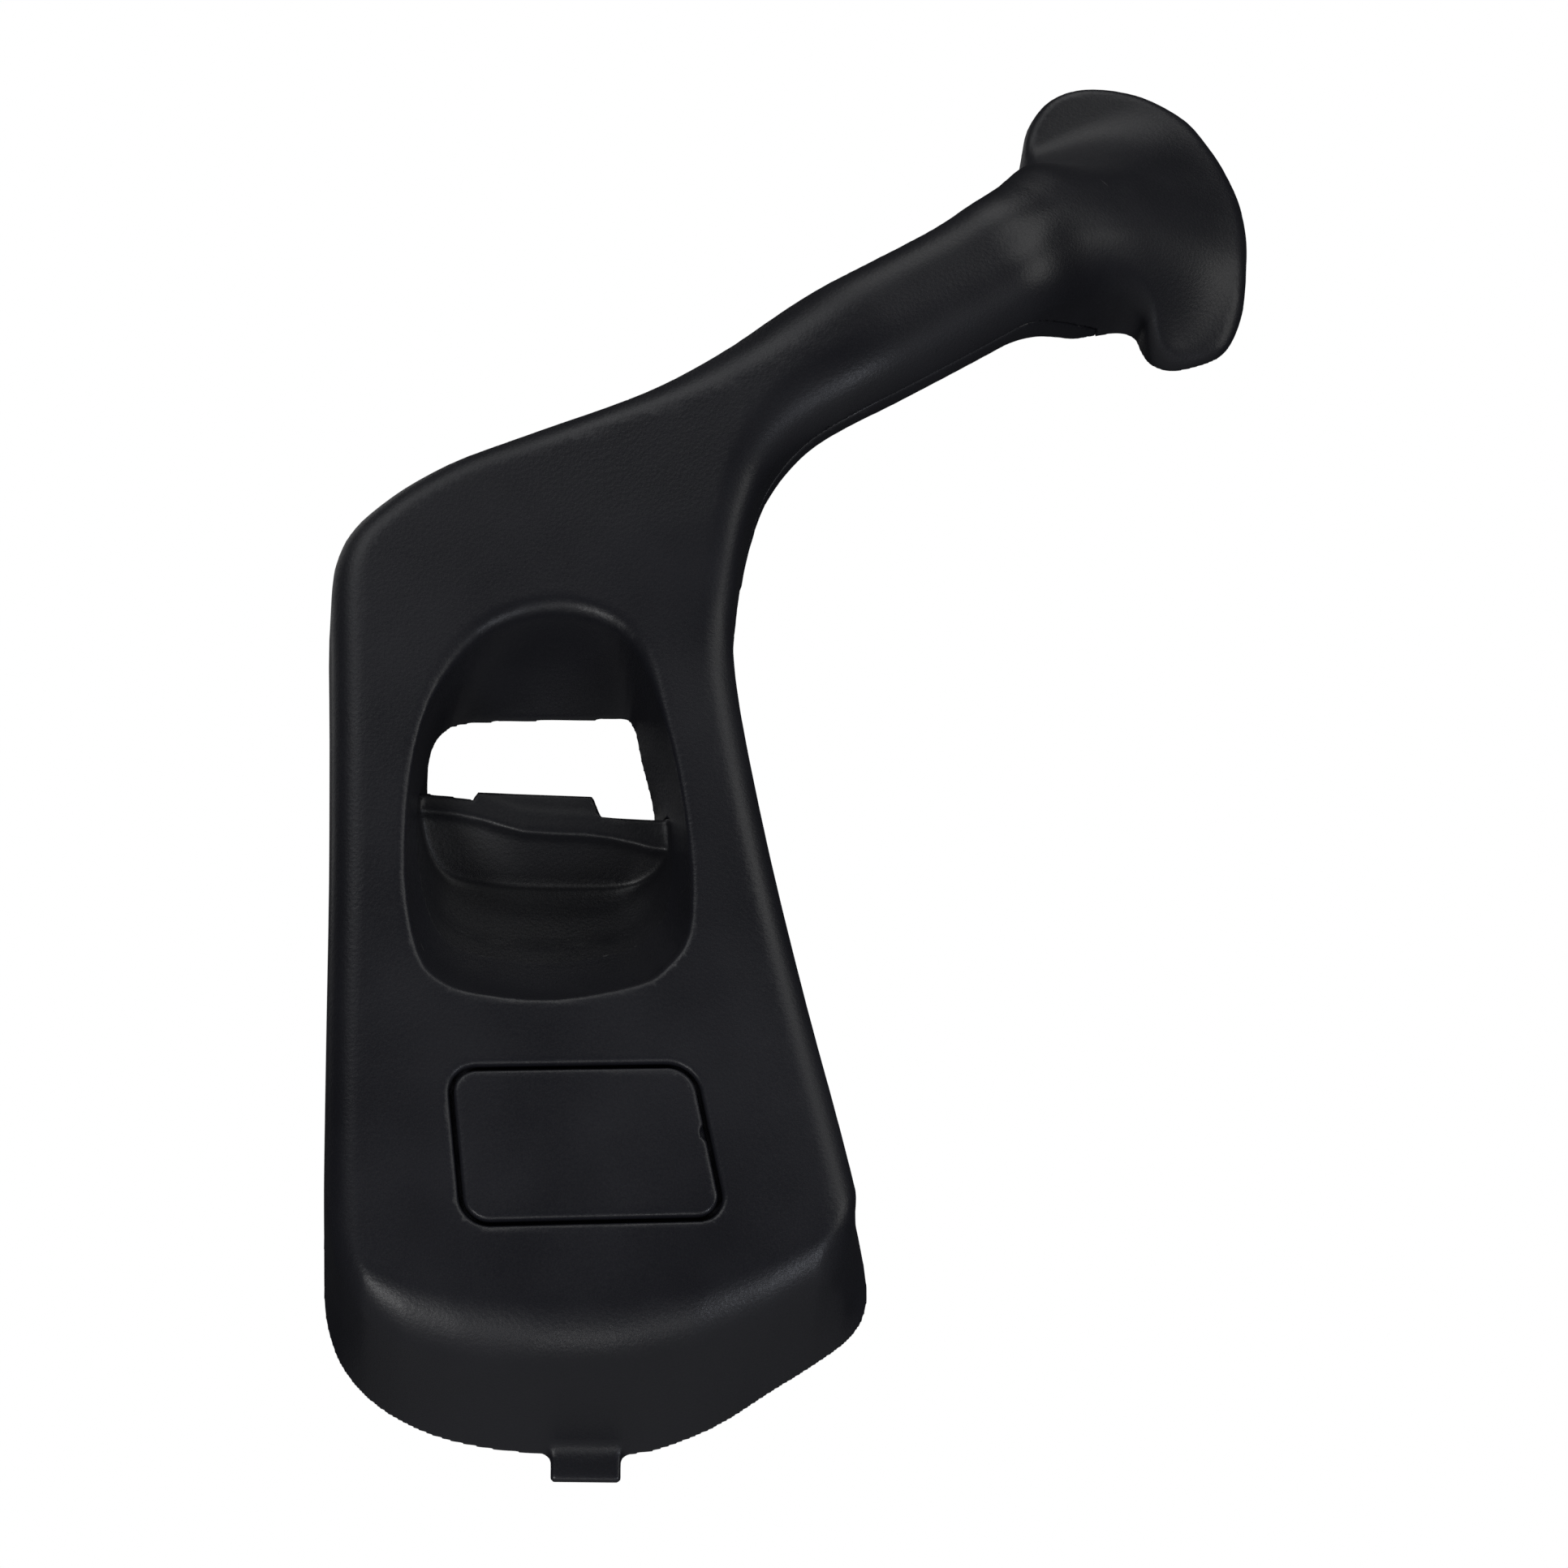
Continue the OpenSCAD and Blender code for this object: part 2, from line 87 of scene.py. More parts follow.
# Outline of the whole moulding where it is widest, clockwise from its lowest point
OUTLINE = [
    (-9, -53), (-22, -51.3), (-31, -48.5), (-38.5, -44.2), (-44, -38.8), (-47.2, -33), (-49, -26),
    (-49.6, -16), (-50.3, 5), (-51, 30), (-51.8, 60), (-53, 90), (-54, 112), (-53, 121), (-50, 127.5),
    (-44.5, 133.3), (-37.5, 138.8), (-27.5, 144.6), (-13, 150.4), (0, 154.8), (12, 159.4), (25, 166),
    (37, 173.6), (57.6, 186), (70.5, 194.5), (80.8, 204.9), (86.8, 215.5), (89.6, 223), (90.9, 230),
    (92.3, 236.5), (96, 242.6), (101, 246), (107, 247.2), (114, 246.6), (120, 244.6), (127.6, 239.5),
    (132, 233.5), (135.2, 227.6), (138, 219.5), (139, 211), (138.9, 204), (138.4, 197), (137.6, 192),
    (135.2, 186), (132, 182.4), (126.2, 180), (121.5, 179.2), (117.6, 180.6), (115.6, 183.6), (114.4, 186.6),
    (111.5, 187.8), (108, 187.4), (104, 186), (99.8, 182.8), (93.5, 177), (85.5, 171.5), (72, 163),
    (51.5, 150.6), (47.2, 148.2), (43, 145.6), (39.7, 142.8), (36.8, 139.6), (34.3, 135.7), (32.6, 131),
    (31.2, 126), (30.2, 120.5), (29.3, 114), (28.8, 106), (30.5, 90), (36.4, 60), (43.5, 30), (50, 5),
    (54.8, -16), (55, -25), (51.5, -30.6), (44.5, -35.8), (36, -41.2), (28, -46.5), (20, -50.3), (10, -53),
]
# Lower edge of the panel's front face, from left to right
FRONT_EDGE = [
    (-49.5, -8), (-48.8, -17), (-46, -24.5), (-40.5, -30), (-33, -33.5), (-23, -36), (-9, -37.3), (6, -36.6),
    (21, -33.6), (35, -27.8), (44, -22.8), (50, -17), (53.5, -10),
]

# Outline of the recess at the panel's front, and where it ends at the back, point for point
RECESS_RIM = [
    (-7, 108.6), (2.5, 106), (8.5, 99.5), (13.3, 87), (16.8, 72), (19, 55), (18.6, 42), (14.6, 35.6),
    (9, 31.8), (-6.5, 28.6), (-20, 29.4), (-27.4, 31.6), (-32.4, 37.4), (-35.4, 53), (-35.2, 73),
    (-32, 88.5), (-25, 100), (-17, 106.2),
]
RECESS_FOOT = [
    (-9, 94.6), (1, 95), (7.6, 94.8), (10, 86), (12.6, 75), (11.8, 68), (9.4, 63.6), (7.4, 60.6), (3.4, 58.2),
    (-6, 57), (-17, 57.4), (-24, 59.6), (-28, 63), (-31, 69), (-32.6, 77), (-32.4, 87), (-28.6, 92.6),
    (-20, 94),
]
# How hollow the recess is: its walls go straight in and turn near the floor
BOWL = 1.6
# The cup's front plate under the opening: its top edge and its wavy lower lip
PLATE_TOP = [(-40, 73.7), (-23.5, 73.4), (-22.6, 75.6), (0.2, 75.3), (1.9, 71), (20, 70.4)]
PLATE_LIP = [
    (-40, 71.6), (-31, 71.1), (-26.5, 70.6), (-21.5, 69.6), (-17, 68.3), (-13.5, 67.4), (-8, 67.1),
    (-1, 67), (4, 66.4), (8, 65.6), (12, 64.6), (20, 64),
]
CUP_FLANGE = [
    (-46, 64), (-37, 71), (-28, 50), (8, 50), (15, 60), (19.5, 60), (18.5, 40), (9, 29.3), (-24, 28.3),
    (-38, 40), (-46, 52),
]

COVER_CORNERS = [(-26.5, 15), (20.3, 16.6), (26.7, -13.6), (-22.8, -15.6)]
COVER_ROUND = 5.5
# Rounding of the pocket's edge, and width of the ledge in it
POCKET_EDGE = 0.9
LEDGE = 3.2
# Inner lower corner of each of the cover's snap tongues
SNAP_TONGUES = [(-20.3, -8), (-21.8, 5), (19.1, -8), (16.3, 5)]
PRY_NOTCH = (23, 3.2)

# Holes for the screws, and where the screws stand
SCREW_HOLE = 1.6
SLEEVES = [(-13, 0), (13, 0)]
CUP_SCREWS = [(-42, 58), (-20, 32.5), (5, 33.5)]
BRACKET_SCREWS = [(31, 9), (31, -8)]
STUD = (114, 214)
# Each clip: x, z and whether it lies across
CLIPS = [(-43, 108, 0), (-43, 22, 0), (45, -23, 0), (-24, -36, 1), (-14, 134, 1)]

# The rod's centre line: x, z and depth
CORE_PATH = [
    (39, -8, 9.3), (38.6, 8, 9.3), (35.2, 25, 9.6), (29.2, 45, 10), (24.6, 65, 10.5), (21.4, 85, 11),
    (19.8, 102, 12), (20.2, 120, 15), (25.3, 138, 21.3), (35, 154, 28.7), (48, 164, 33.7),
    (71.3, 178.4, 34.7), (90, 190, 30.6), (101, 197, 21), (107, 200.8, 11), (109.5, 202.4, 7.4),
]


def along_arm(s, t):
    """The point s along the arm and t to its upper side."""
    x = ARM_START[0] + s * ARM_ALONG[0] - t * ARM_ALONG[1]
    return x, ARM_START[1] + s * ARM_ALONG[1] + t * ARM_ALONG[0]


# Each screw of the arm: place, depth of its seat and depth of the seam it closes
SHELL_SCREWS = [
    (along_arm(8, 7.3), 24.5, 33.3), (along_arm(36, -7.3), 24.5, 33.3), (along_arm(-16, 5), 17.5, 27),
]


# ---------------------------------------------------------------- fields


def smooth(a, b, v):
    """0 below a, 1 above b and an even curve between."""
    t = np.clip((v - a) / (b - a), 0, 1)
    return t * t * (3 - 2 * t)


def both(a, b, r):
    """Where a and b overlap, with the edge between them rounded to radius r."""
    return np.maximum(np.minimum(a, b), r) - np.hypot(np.maximum(r - a, 0), np.maximum(r - b, 0))


def either(a, b, k):
    """a joined to b, with a fillet about k wide."""
    return np.maximum(a, b) + np.maximum(k - np.abs(a - b), 0) ** 2 / (4 * k)


def overlap(first, *others):
    """Where every field overlaps, with sharp edges."""
    for other in others:
        first = np.minimum(first, other)
    return first


def curved(points, count):
    """A closed outline through the points, with count steps from each to the next."""
    p = np.array(points, dtype=float)
    before, after, beyond = np.roll(p, 1, 0), np.roll(p, -1, 0), np.roll(p, -2, 0)
    steps = []
    for t in np.arange(count) / count:
        steps.append(0.5 * (2 * p + (after - before) * t + (2 * before - 5 * p + 4 * after - beyond) * t ** 2
                            + (3 * p - before - 3 * after + beyond) * t ** 3))
    return np.stack(steps, 1).reshape(-1, 2)


def inside_of(outline, x, z):
    """Signed distance to a closed outline, positive inside it."""
    ends = np.asarray(outline, dtype=np.float32)
    nearest = np.full(np.broadcast(x, z).shape, 1e9, dtype=np.float32)
    inside = np.zeros(nearest.shape, dtype=bool)
    for (ax, az), (bx, bz) in zip(ends, np.roll(ends, -1, 0)):
        ex, ez = bx - ax, bz - az
        share = np.clip(((x - ax) * ex + (z - az) * ez) / (ex * ex + ez * ez + 1e-9), 0, 1)
        nearest = np.minimum(nearest, (x - ax - ex * share) ** 2 + (z - az - ez * share) ** 2)
        if az != bz:
            inside ^= ((az <= z) != (bz <= z)) & (x < ax + (z - az) * ex / ez)
    return np.where(inside, 1, -1) * np.sqrt(nearest)


def rounded_polygon(corners, r, x, z):
    """Signed distance to a convex clockwise polygon with its corners rounded."""
    field = None
    for (ax, az), (bx, bz) in zip(corners, corners[1:] + corners[:1]):
        length = math.hypot(bx - ax, bz - az)
        side = ((bz - az) * (x - ax) - (bx - ax) * (z - az)) / length
        field = side if field is None else both(field, side, r)
    return field


def height_at(points, x):
    """Height of an open line through the points, at each x."""
    p = np.array(points, dtype=float)
    return np.interp(x, p[:, 0], p[:, 1])


def block_of(x, z, d, centre, size, r=0.0):
    """A box with all its edges rounded."""
    field = size[0] / 2 - np.abs(x - centre[0])
    field = both(field, size[1] / 2 - np.abs(z - centre[1]), r)
    return both(field, size[2] / 2 - np.abs(d - centre[2]), r)


class Samples:
    """Sample points over a box given in millimetres as (x, z, d)."""

    def __init__(self, low, high, step):
        self.low = np.array(low, dtype=float)
        self.step = step
        axes = [np.arange(a, b + step, step, dtype=np.float32) for a, b in zip(low, high)]
        self.x, self.z, self.d = axes[0][:, None, None], axes[1][None, :, None], axes[2][None, None, :]
        self.flat = self.x[:, :, 0], self.z[:, :, 0]
        self.shape = tuple(len(a) for a in axes)

    def read(self, field, points):
        """The field at points given in steps, mixed from its eight neighbours."""
        top = np.array(field.shape) - 1.001
        p = np.clip(points, 0, top)
        i = p.astype(int)
        f = p - i
        total = 0
        for corner in range(8):
            o = np.array([corner & 1, corner >> 1 & 1, corner >> 2])
            w = np.prod(np.where(o, f, 1 - f), 1)
            total = total + w * field[i[:, 0] + o[0], i[:, 1] + o[1], i[:, 2] + o[2]]
        return total

    def slices(self, low, high):
        """Index ranges of the samples inside a smaller box over x and z."""
        a = [int(max((low[k] - self.low[k]) / self.step, 0)) for k in (0, 1)]
        b = [int(min((high[k] - self.low[k]) / self.step + 1, self.shape[k])) for k in (0, 1)]
        return slice(a[0], b[0]), slice(a[1], b[1])


def arm_frame(x, z):
    """How far along the arm each point is, and how far to its upper side."""
    dx, dz = x - ARM_START[0], z - ARM_START[1]
    return dx * ARM_ALONG[0] + dz * ARM_ALONG[1], dz * ARM_ALONG[0] - dx * ARM_ALONG[1]


def crest_depth(x, z, s):
    """Depth of the front surface: level on the panel, raised on the arm, down to the door at the foot."""
    rise = ARM_RISE * smooth(-70, 12, s) * smooth(94, 128, z)
    crown = 0.6 * (1 - ((x + 2) / 52) ** 2) * (1 - smooth(-70, -20, s)) - 0.6
    fall = ARM_FALL * smooth(38, 125, s)
    return PANEL_FRONT + rise + crown - fall


def back_depth(s):
    """Depth of the arm's back, which leaves the door as the arm leaves the panel."""
    return ARM_BACK * smooth(-46, 1, s) * (1 - smooth(34, 67, s)) - 3 * (1 - smooth(-60, -46, s))


def seam_depth(s):
    """Depth where the front moulding and the arm's back shell meet."""
    return ARM_SEAM * smooth(-66, 4, s) * (1 - smooth(37, 71, s))


def back_shell_reach(s):
    """Positive where the arm has a back shell."""
    return np.minimum(s + 50, 64 - s)


def outer_form(g):
    """The whole handle as if it were solid down to the door, with the arm not yet cut free of it."""
    x, z = g.flat
    s, t = arm_frame(x, z)
    base = inside_of(curved(OUTLINE, 3), x, z)
    lean = 2 * (1 - smooth(-40, 10, s))
    front = both(base - lean, (z - height_at(FRONT_EDGE, x)) * 0.94, 9)
    steep = np.sqrt(1 + ((front - base) / PANEL_FRONT) ** 2)
    share = np.clip(g.d / PANEL_FRONT, 0, 1)
    side = (base[:, :, None] + (front - base)[:, :, None] * share) / steep[:, :, None]
    crest = crest_depth(x, z, s)
    roll = 6 + 1 * (1 - smooth(-30, 0, z)) + 6 * smooth(-50, 0, s) + 4 * smooth(40, 60, s)
    form = both(side, crest[:, :, None] - g.d, roll[:, :, None].astype(np.float32))
    # The foot swells out to a thin rim on the door, like a trumpet's bell
    bell = FOOT_RIM + (crest - FOOT_RIM) * (1 - smooth(4, 31, np.abs(t - 3)))
    slope = np.sqrt(1 + sum(a * a for a in np.gradient(bell, g.step)))
    flare = both(side, (bell[:, :, None] - g.d) / slope[:, :, None], 3)
    near = smooth(54, 78, s)[:, :, None].astype(np.float32)
    form = form + (flare - form) * near
    return form.astype(np.float32), crest[:, :, None].astype(np.float32), s[:, :, None]


def recess_field(g):
    """Distance into the recess, whose outline changes evenly from its rim to its foot."""
    field = np.full(g.shape, -20, dtype=np.float32)
    xs, zs = g.slices((-48, 18), (32, 120))
    x, z = g.x[xs, :, 0], g.z[0:1, zs, 0]
    rim, foot = curved(RECESS_RIM, 3), curved(RECESS_FOOT, 3)
    for k, d in enumerate(g.d.ravel()):
        share = np.clip((PANEL_FRONT - d) / (PANEL_FRONT - RECESS_FLOOR), -0.25, 1)
        field[xs, zs, k] = inside_of(rim + (foot - rim) * np.sign(share) * abs(share) ** BOWL, x, z)
    local = field[xs, zs]
    slopes = np.gradient(local, g.step)
    field[xs, zs] = local / np.clip(np.sqrt(sum(a * a for a in slopes)), 1, 1.7)
    return field


def screw_pocket_field(g, crest):
    """The pocket under the screw cover, with the ledge that the cover rests on."""
    x, z = g.flat
    mouth = rounded_polygon(COVER_CORNERS, COVER_ROUND, x, z)[:, :, None]
    seat = np.minimum(mouth, g.d - crest + bpy.context.scene.handle_cover.thickness + 0.1)
    return np.maximum(seat, np.minimum(mouth - LEDGE, g.d - POCKET_FLOOR))


def rod(g, place, r):
    """An endless round rod at a place, standing out from the door."""
    return r - np.hypot(g.x - place[0], g.z - place[1])


# ---------------------------------------------------------------- meshes


def new_object(name, mesh):
    """A named object at the origin, in the scene's own collection."""
    obj = bpy.data.objects.new(name, mesh)
    bpy.context.scene.collection.objects.link(obj)
    return obj


def slopes_of(g, field, points, reach):
    """The field's fall along each axis about each point, and how far it bulges there."""
    slope, bulge = np.zeros(points.shape), -6 * g.read(field, points)
    for axis in range(3):
        step = np.zeros(3)
        step[axis] = reach
        ahead, behind = g.read(field, points + step), g.read(field, points - step)
        slope[:, axis] = behind - ahead
        bulge = bulge + ahead + behind
    return slope / (np.linalg.norm(slope, axis=1)[:, None] + 1e-9), bulge


def carve(name, field, g, adaptivity, liner=None):
    """Meshes a field's zero surface, shades it by the field's slope and marks its outer edges.

    A moulding that meets another in one surface is shaded as that surface, the liner, at the joint.
    """
    band = 3 * g.step
    grid = openvdb.FloatGrid(band)
    grid.copyFromArray(np.ascontiguousarray(np.clip(-field, -band, band), dtype=np.float32))
    points, triangles, quads = grid.convertToPolygons(isovalue=0.0, adaptivity=adaptivity)
    points = np.array(points, dtype=float)
    reach = max(0.6, g.step) / g.step
    slope, bulge = slopes_of(g, field, points, reach)
    if liner is not None:
        depth = g.low[2] + points[:, 2] * g.step
        joint = (np.abs(g.read(liner, points)) < JOINT_BAND) & (np.abs(depth - CUP_SEAM) < 3 * JOINT_BAND)
        slope[joint] = slopes_of(g, liner, points[joint], reach)[0]
        bulge[joint] = 0
    place = g.low + points * g.step
    vertices = np.stack([place[:, 0], -place[:, 2], place[:, 1]], 1) * MM
    normals = np.stack([slope[:, 0], -slope[:, 2], slope[:, 1]], 1)
    mesh = bpy.data.meshes.new(name)
    mesh.from_pydata(vertices.tolist(), [], np.array(triangles).tolist() + np.array(quads).tolist())
    wear = mesh.attributes.new("edge_wear", "FLOAT", "POINT")
    curvature = np.clip(-bulge / (reach * g.step) ** 2 * 1.2, 0, 1)
    wear.data.foreach_set("value", curvature.astype(np.float32))
    mesh.shade_smooth()
    mesh.normals_split_custom_set_from_vertices(normals.tolist())
    print(name, len(vertices), "vertices", len(triangles) + 2 * len(quads), "triangles")
    return new_object(name, mesh)


def softened(name, node, width):
    """A copy of a CAD solid with its edges rounded."""
    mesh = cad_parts[node].data.copy()
    mesh.name = name
    bm = bmesh.new()
    bm.from_mesh(mesh)
    bmesh.ops.remove_doubles(bm, verts=bm.verts, dist=1e-6)
    bmesh.ops.dissolve_limit(bm, angle_limit=math.radians(1), verts=bm.verts, edges=bm.edges)
    sharp = [e for e in bm.edges if len(e.link_faces) == 2 and e.calc_face_angle(0) > math.radians(35)]
    bmesh.ops.bevel(bm, geom=sharp, offset=width * MM, offset_type="OFFSET", segments=2, profile=0.5,
                    affect="EDGES", clamp_overlap=True)
    bmesh.ops.triangulate(bm, faces=bm.faces)
    bm.to_mesh(mesh)
    bm.free()
    mesh.materials.clear()
    mesh.shade_smooth()
    mesh.set_sharp_from_angle(angle=math.radians(40))
    return new_object(name, mesh)


def finish_piece(obj, material, slot, body, *nodes):
    """Gives a piece its material and its body, and hides the CAD nodes it stands for. Its slot is not used.
    """
    if not obj.data.materials:
        obj.data.materials.append(material)
    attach(obj, body)
    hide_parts(*nodes)


# ---------------------------------------------------------------- node trees


def add_node(tree, kind, inputs=None, **settings):
    """A node with its settings, and its inputs given as values or as sockets to join."""
    node = tree.nodes.new(kind)
    for key, value in settings.items():
        setattr(node, key, value)
    for key, value in (inputs or {}).items():
        if isinstance(value, bpy.types.NodeSocket):
            tree.links.new(value, node.inputs[key])
        else:
            node.inputs[key].default_value = value
    return node


def shade(name, colour, roughness, metallic=0.0):
    """A material with a Principled shader, and object coordinates to draw its detail from."""
    material = bpy.data.materials.new(name)
    material.use_nodes = True
    material.diffuse_color = (*colour, 1)
    tree = material.node_tree
    shader = tree.nodes["Principled BSDF"]
    shader.inputs["Base Color"].default_value = (*colour, 1)
    shader.inputs["Roughness"].default_value = roughness
    shader.inputs["Metallic"].default_value = metallic
    place = add_node(tree, "ShaderNodeTexCoord").outputs["Object"]
    return material, tree, shader, place


def remap(tree, value, low, high, from_low=0.0, from_high=1.0):
    """The value moved from one range to another."""
    return add_node(tree, "ShaderNodeMapRange", {
        "Value": value, "From Min": from_low, "From Max": from_high, "To Min": low, "To Max": high,
    }).outputs["Result"]


def tinted(tree, colour, value, darkest, lightest):
    """The colour made darker or lighter by a value from 0 to 1."""
    level = remap(tree, value, darkest, lightest, 0.3, 0.7)
    return add_node(tree, "ShaderNodeMix", {"Factor": 1.0, 6: (*colour, 1), 7: level},
                    data_type="RGBA", blend_type="MULTIPLY").outputs[2]


def noise(tree, place, scale, detail=2.0):
    """Noise with features of about 1 / scale metres."""
    given = {"Vector": place, "Scale": scale, "Detail": detail}
    return add_node(tree, "ShaderNodeTexNoise", given).outputs["Fac"]


def grained_plastic(name, colour, roughness, grain_mm, depth_mm):
    """Moulded plastic with a fine pebbled grain, worn smoother and a little lighter along its edges."""
    material, tree, shader, place = shade(name, colour, roughness)
    pebble = add_node(tree, "ShaderNodeTexVoronoi", {
        "Vector": place, "Scale": 1000 / grain_mm, "Smoothness": 0.6,
    }, feature="SMOOTH_F1").outputs["Distance"]
    fine = noise(tree, place, 2600 / grain_mm)
    handled = noise(tree, place, 28, 3)
    wear = add_node(tree, "ShaderNodeAttribute", attribute_name="edge_wear").outputs["Fac"]
    grain = add_node(tree, "ShaderNodeMath", {0: pebble, 1: fine}, operation="ADD").outputs[0]
    bump = add_node(tree, "ShaderNodeBump", {"Strength": 0.5, "Distance": depth_mm * MM, "Height": grain})
    tree.links.new(bump.outputs["Normal"], shader.inputs["Normal"])
    spread = remap(tree, handled, roughness - 0.07, roughness + 0.07, 0.3, 0.7)
    worn = add_node(tree, "ShaderNodeMath", {
        0: wear, 1: -0.06, 2: spread}, operation="MULTIPLY_ADD").outputs[0]
    speckle = remap(tree, fine, -0.05, 0.05, 0.3, 0.7)
    final = add_node(tree, "ShaderNodeMath", {0: worn, 1: speckle}, operation="ADD").outputs[0]
    tree.links.new(final, shader.inputs["Roughness"])
    base = tinted(tree, colour, handled, 0.85, 1.15)
    edge = add_node(tree, "ShaderNodeMix", {"Factor": remap(tree, wear, 0, 0.12), 6: base,
                    7: tuple(c * 2.2 for c in colour) + (1,)}, data_type="RGBA").outputs[2]
    tree.links.new(edge, shader.inputs["Base Color"])
    shader.inputs["Specular IOR Level"].default_value = bpy.context.scene.handle_finish.sheen
    return material


def plated_steel(name, colour, roughness, spangle_mm):
    """Plated or blued steel with faint crystals and drawing marks."""
    material, tree, shader, place = shade(name, colour, roughness, 1.0)
    cells = add_node(tree, "ShaderNodeTexVoronoi", {
        "Vector": place, "Scale": 1000 / spangle_mm}).outputs["Color"]
    spot = add_node(tree, "ShaderNodeSeparateColor", {"Color": cells}).outputs["Red"]
    blotch = noise(tree, place, 120, 4)
    stretched = add_node(tree, "ShaderNodeMapping", {"Vector": place, "Scale": (1, 1, 12)}).outputs["Vector"]
    drawn = noise(tree, stretched, 900, 3)
    tree.links.new(tinted(tree, colour, blotch, 0.82, 1.1), shader.inputs["Base Color"])
    scratched = remap(tree, drawn, roughness - 0.08, roughness + 0.1)
    mixed = add_node(tree, "ShaderNodeMath", {
        0: spot, 1: 0.12, 2: scratched}, operation="MULTIPLY_ADD").outputs[0]
    tree.links.new(mixed, shader.inputs["Roughness"])
    bump = add_node(tree, "ShaderNodeBump", {"Strength": 0.25, "Distance": 0.02 * MM, "Height": drawn})
    tree.links.new(bump.outputs["Normal"], shader.inputs["Normal"])
    return material


def cell_foam(name, colour):
    """Closed-cell foam with open cells on its cut faces, with painted shade darkening the pits of the cells.
    """
    material, tree, shader, place = shade(name, colour, 0.95)
    cells = add_node(tree, "ShaderNodeTexVoronoi", {"Vector": place, "Scale": 1600.0}).outputs["Distance"]
    bump = add_node(tree, "ShaderNodeBump", {"Strength": 0.9, "Distance": 0.25 * MM, "Height": cells})
    tree.links.new(bump.outputs["Normal"], shader.inputs["Normal"])
    # Painted shade: the colour darkens in the cells' pits, where the bump sinks, and lightens on the walls
    # between them
    tree.links.new(tinted(tree, colour, cells, 0.6, 1.5), shader.inputs["Base Color"])
    return material


def geometry_tree(name, inputs):
    """An empty Geometry Nodes tree with named inputs, given as (name, type, value)."""
    tree = bpy.data.node_groups.new(name, "GeometryNodeTree")
    tree.interface.new_socket("Geometry", in_out="OUTPUT", socket_type="NodeSocketGeometry")
    for label, kind, value in inputs:
        socket = tree.interface.new_socket(label, in_out="INPUT", socket_type=kind)
        if value is not None:
            socket.default_value = value
    source = tree.nodes.new("NodeGroupInput")
    return tree, source.outputs


def close_tree(tree, geometry, material):
    """Ends a tree in Realize Instances and Set Material."""
    real = add_node(tree, "GeometryNodeRealizeInstances", {"Geometry": geometry}).outputs[0]
    shaded = add_node(tree, "GeometryNodeSetMaterial", {"Geometry": real, "Material": material}).outputs[0]
    end = tree.nodes.new("NodeGroupOutput")
    tree.links.new(shaded, end.inputs[0])


def grown(holder, tree, values):
    """Runs a tree on an object with these inputs and keeps its result as the object's plain mesh."""
    modifier = holder.modifiers.new("Grow", "NODES")
    modifier.node_group = tree
    for item in tree.interface.items_tree:
        if item.in_out == "INPUT" and item.name in values:
            modifier[item.identifier] = values[item.name]
    graph = bpy.context.evaluated_depsgraph_get()
    mesh = bpy.data.meshes.new_from_object(holder.evaluated_get(graph), depsgraph=graph)
    holder.modifiers.remove(modifier)
    mesh.name = holder.name
    holder.data = mesh
    return holder


# ---------------------------------------------------------------- the pieces


class HandleShellSizes(bpy.types.PropertyGroup):
    """Sizes of the mouldings."""
    wall: FloatProperty(
        name="Wall", description="Thickness of the moulded walls, in millimetres", default=2.6, min=2)
    skirt: FloatProperty(
        name="Skirt", description="Thickness of the wall round the recess, in millimetres",
        default=2.2, min=1.5)
    rim_round: FloatProperty(
        name="Rim round", description="Radius of the recess's rim, in millimetres", default=2.2)
    step: FloatProperty(
        name="Step", description="Spacing of the samples that a moulding is meshed from, in millimetres",
        default=0.5, min=0.3, max=2)
    adaptivity: FloatProperty(
        name="Adaptivity", description="How far flat stretches are meshed with larger faces",
        default=0.028, min=0, max=1, subtype="FACTOR")


class HandleCoverSizes(bpy.types.PropertyGroup):
    """Sizes of the screw cover."""
    gap: FloatProperty(
        name="Gap", description="Width of the gap round the cover, in millimetres", default=0.9)
    thickness: FloatProperty(
        name="Thickness", description="Thickness of the cover's plate, in millimetres", default=2.6)
    edge: FloatProperty(
        name="Edge", description="Radius of the cover's edge, in millimetres", default=0.9)
    notch: FloatProperty(
        name="Notch", description="Radius of the notch for prising it out, in millimetres", default=1.7)


class HandleFastenerSizes(bpy.types.PropertyGroup):
    """Sizes of the screws, the rod and the clips."""
    mount_thread: FloatProperty(
        name="Mount thread", description="Radius of the mounting screws",
        default=0.003, unit="LENGTH", subtype="DISTANCE")
    mount_reach: FloatProperty(
        name="Mount reach", description="How far the screws stand out behind the door plane",
        default=0.014, unit="LENGTH", subtype="DISTANCE")
    pitch: FloatProperty(
        name="Pitch", description="Pitch of the mounting screws' thread",
        default=0.001, unit="LENGTH", subtype="DISTANCE")
    rod: FloatProperty(
        name="Rod", description="Radius of the steel rod in the arm",
        default=0.004, unit="LENGTH", subtype="DISTANCE")
    sheet: FloatProperty(
        name="Sheet", description="Thickness of the spring clips' steel",
        default=0.0007, unit="LENGTH", subtype="DISTANCE")


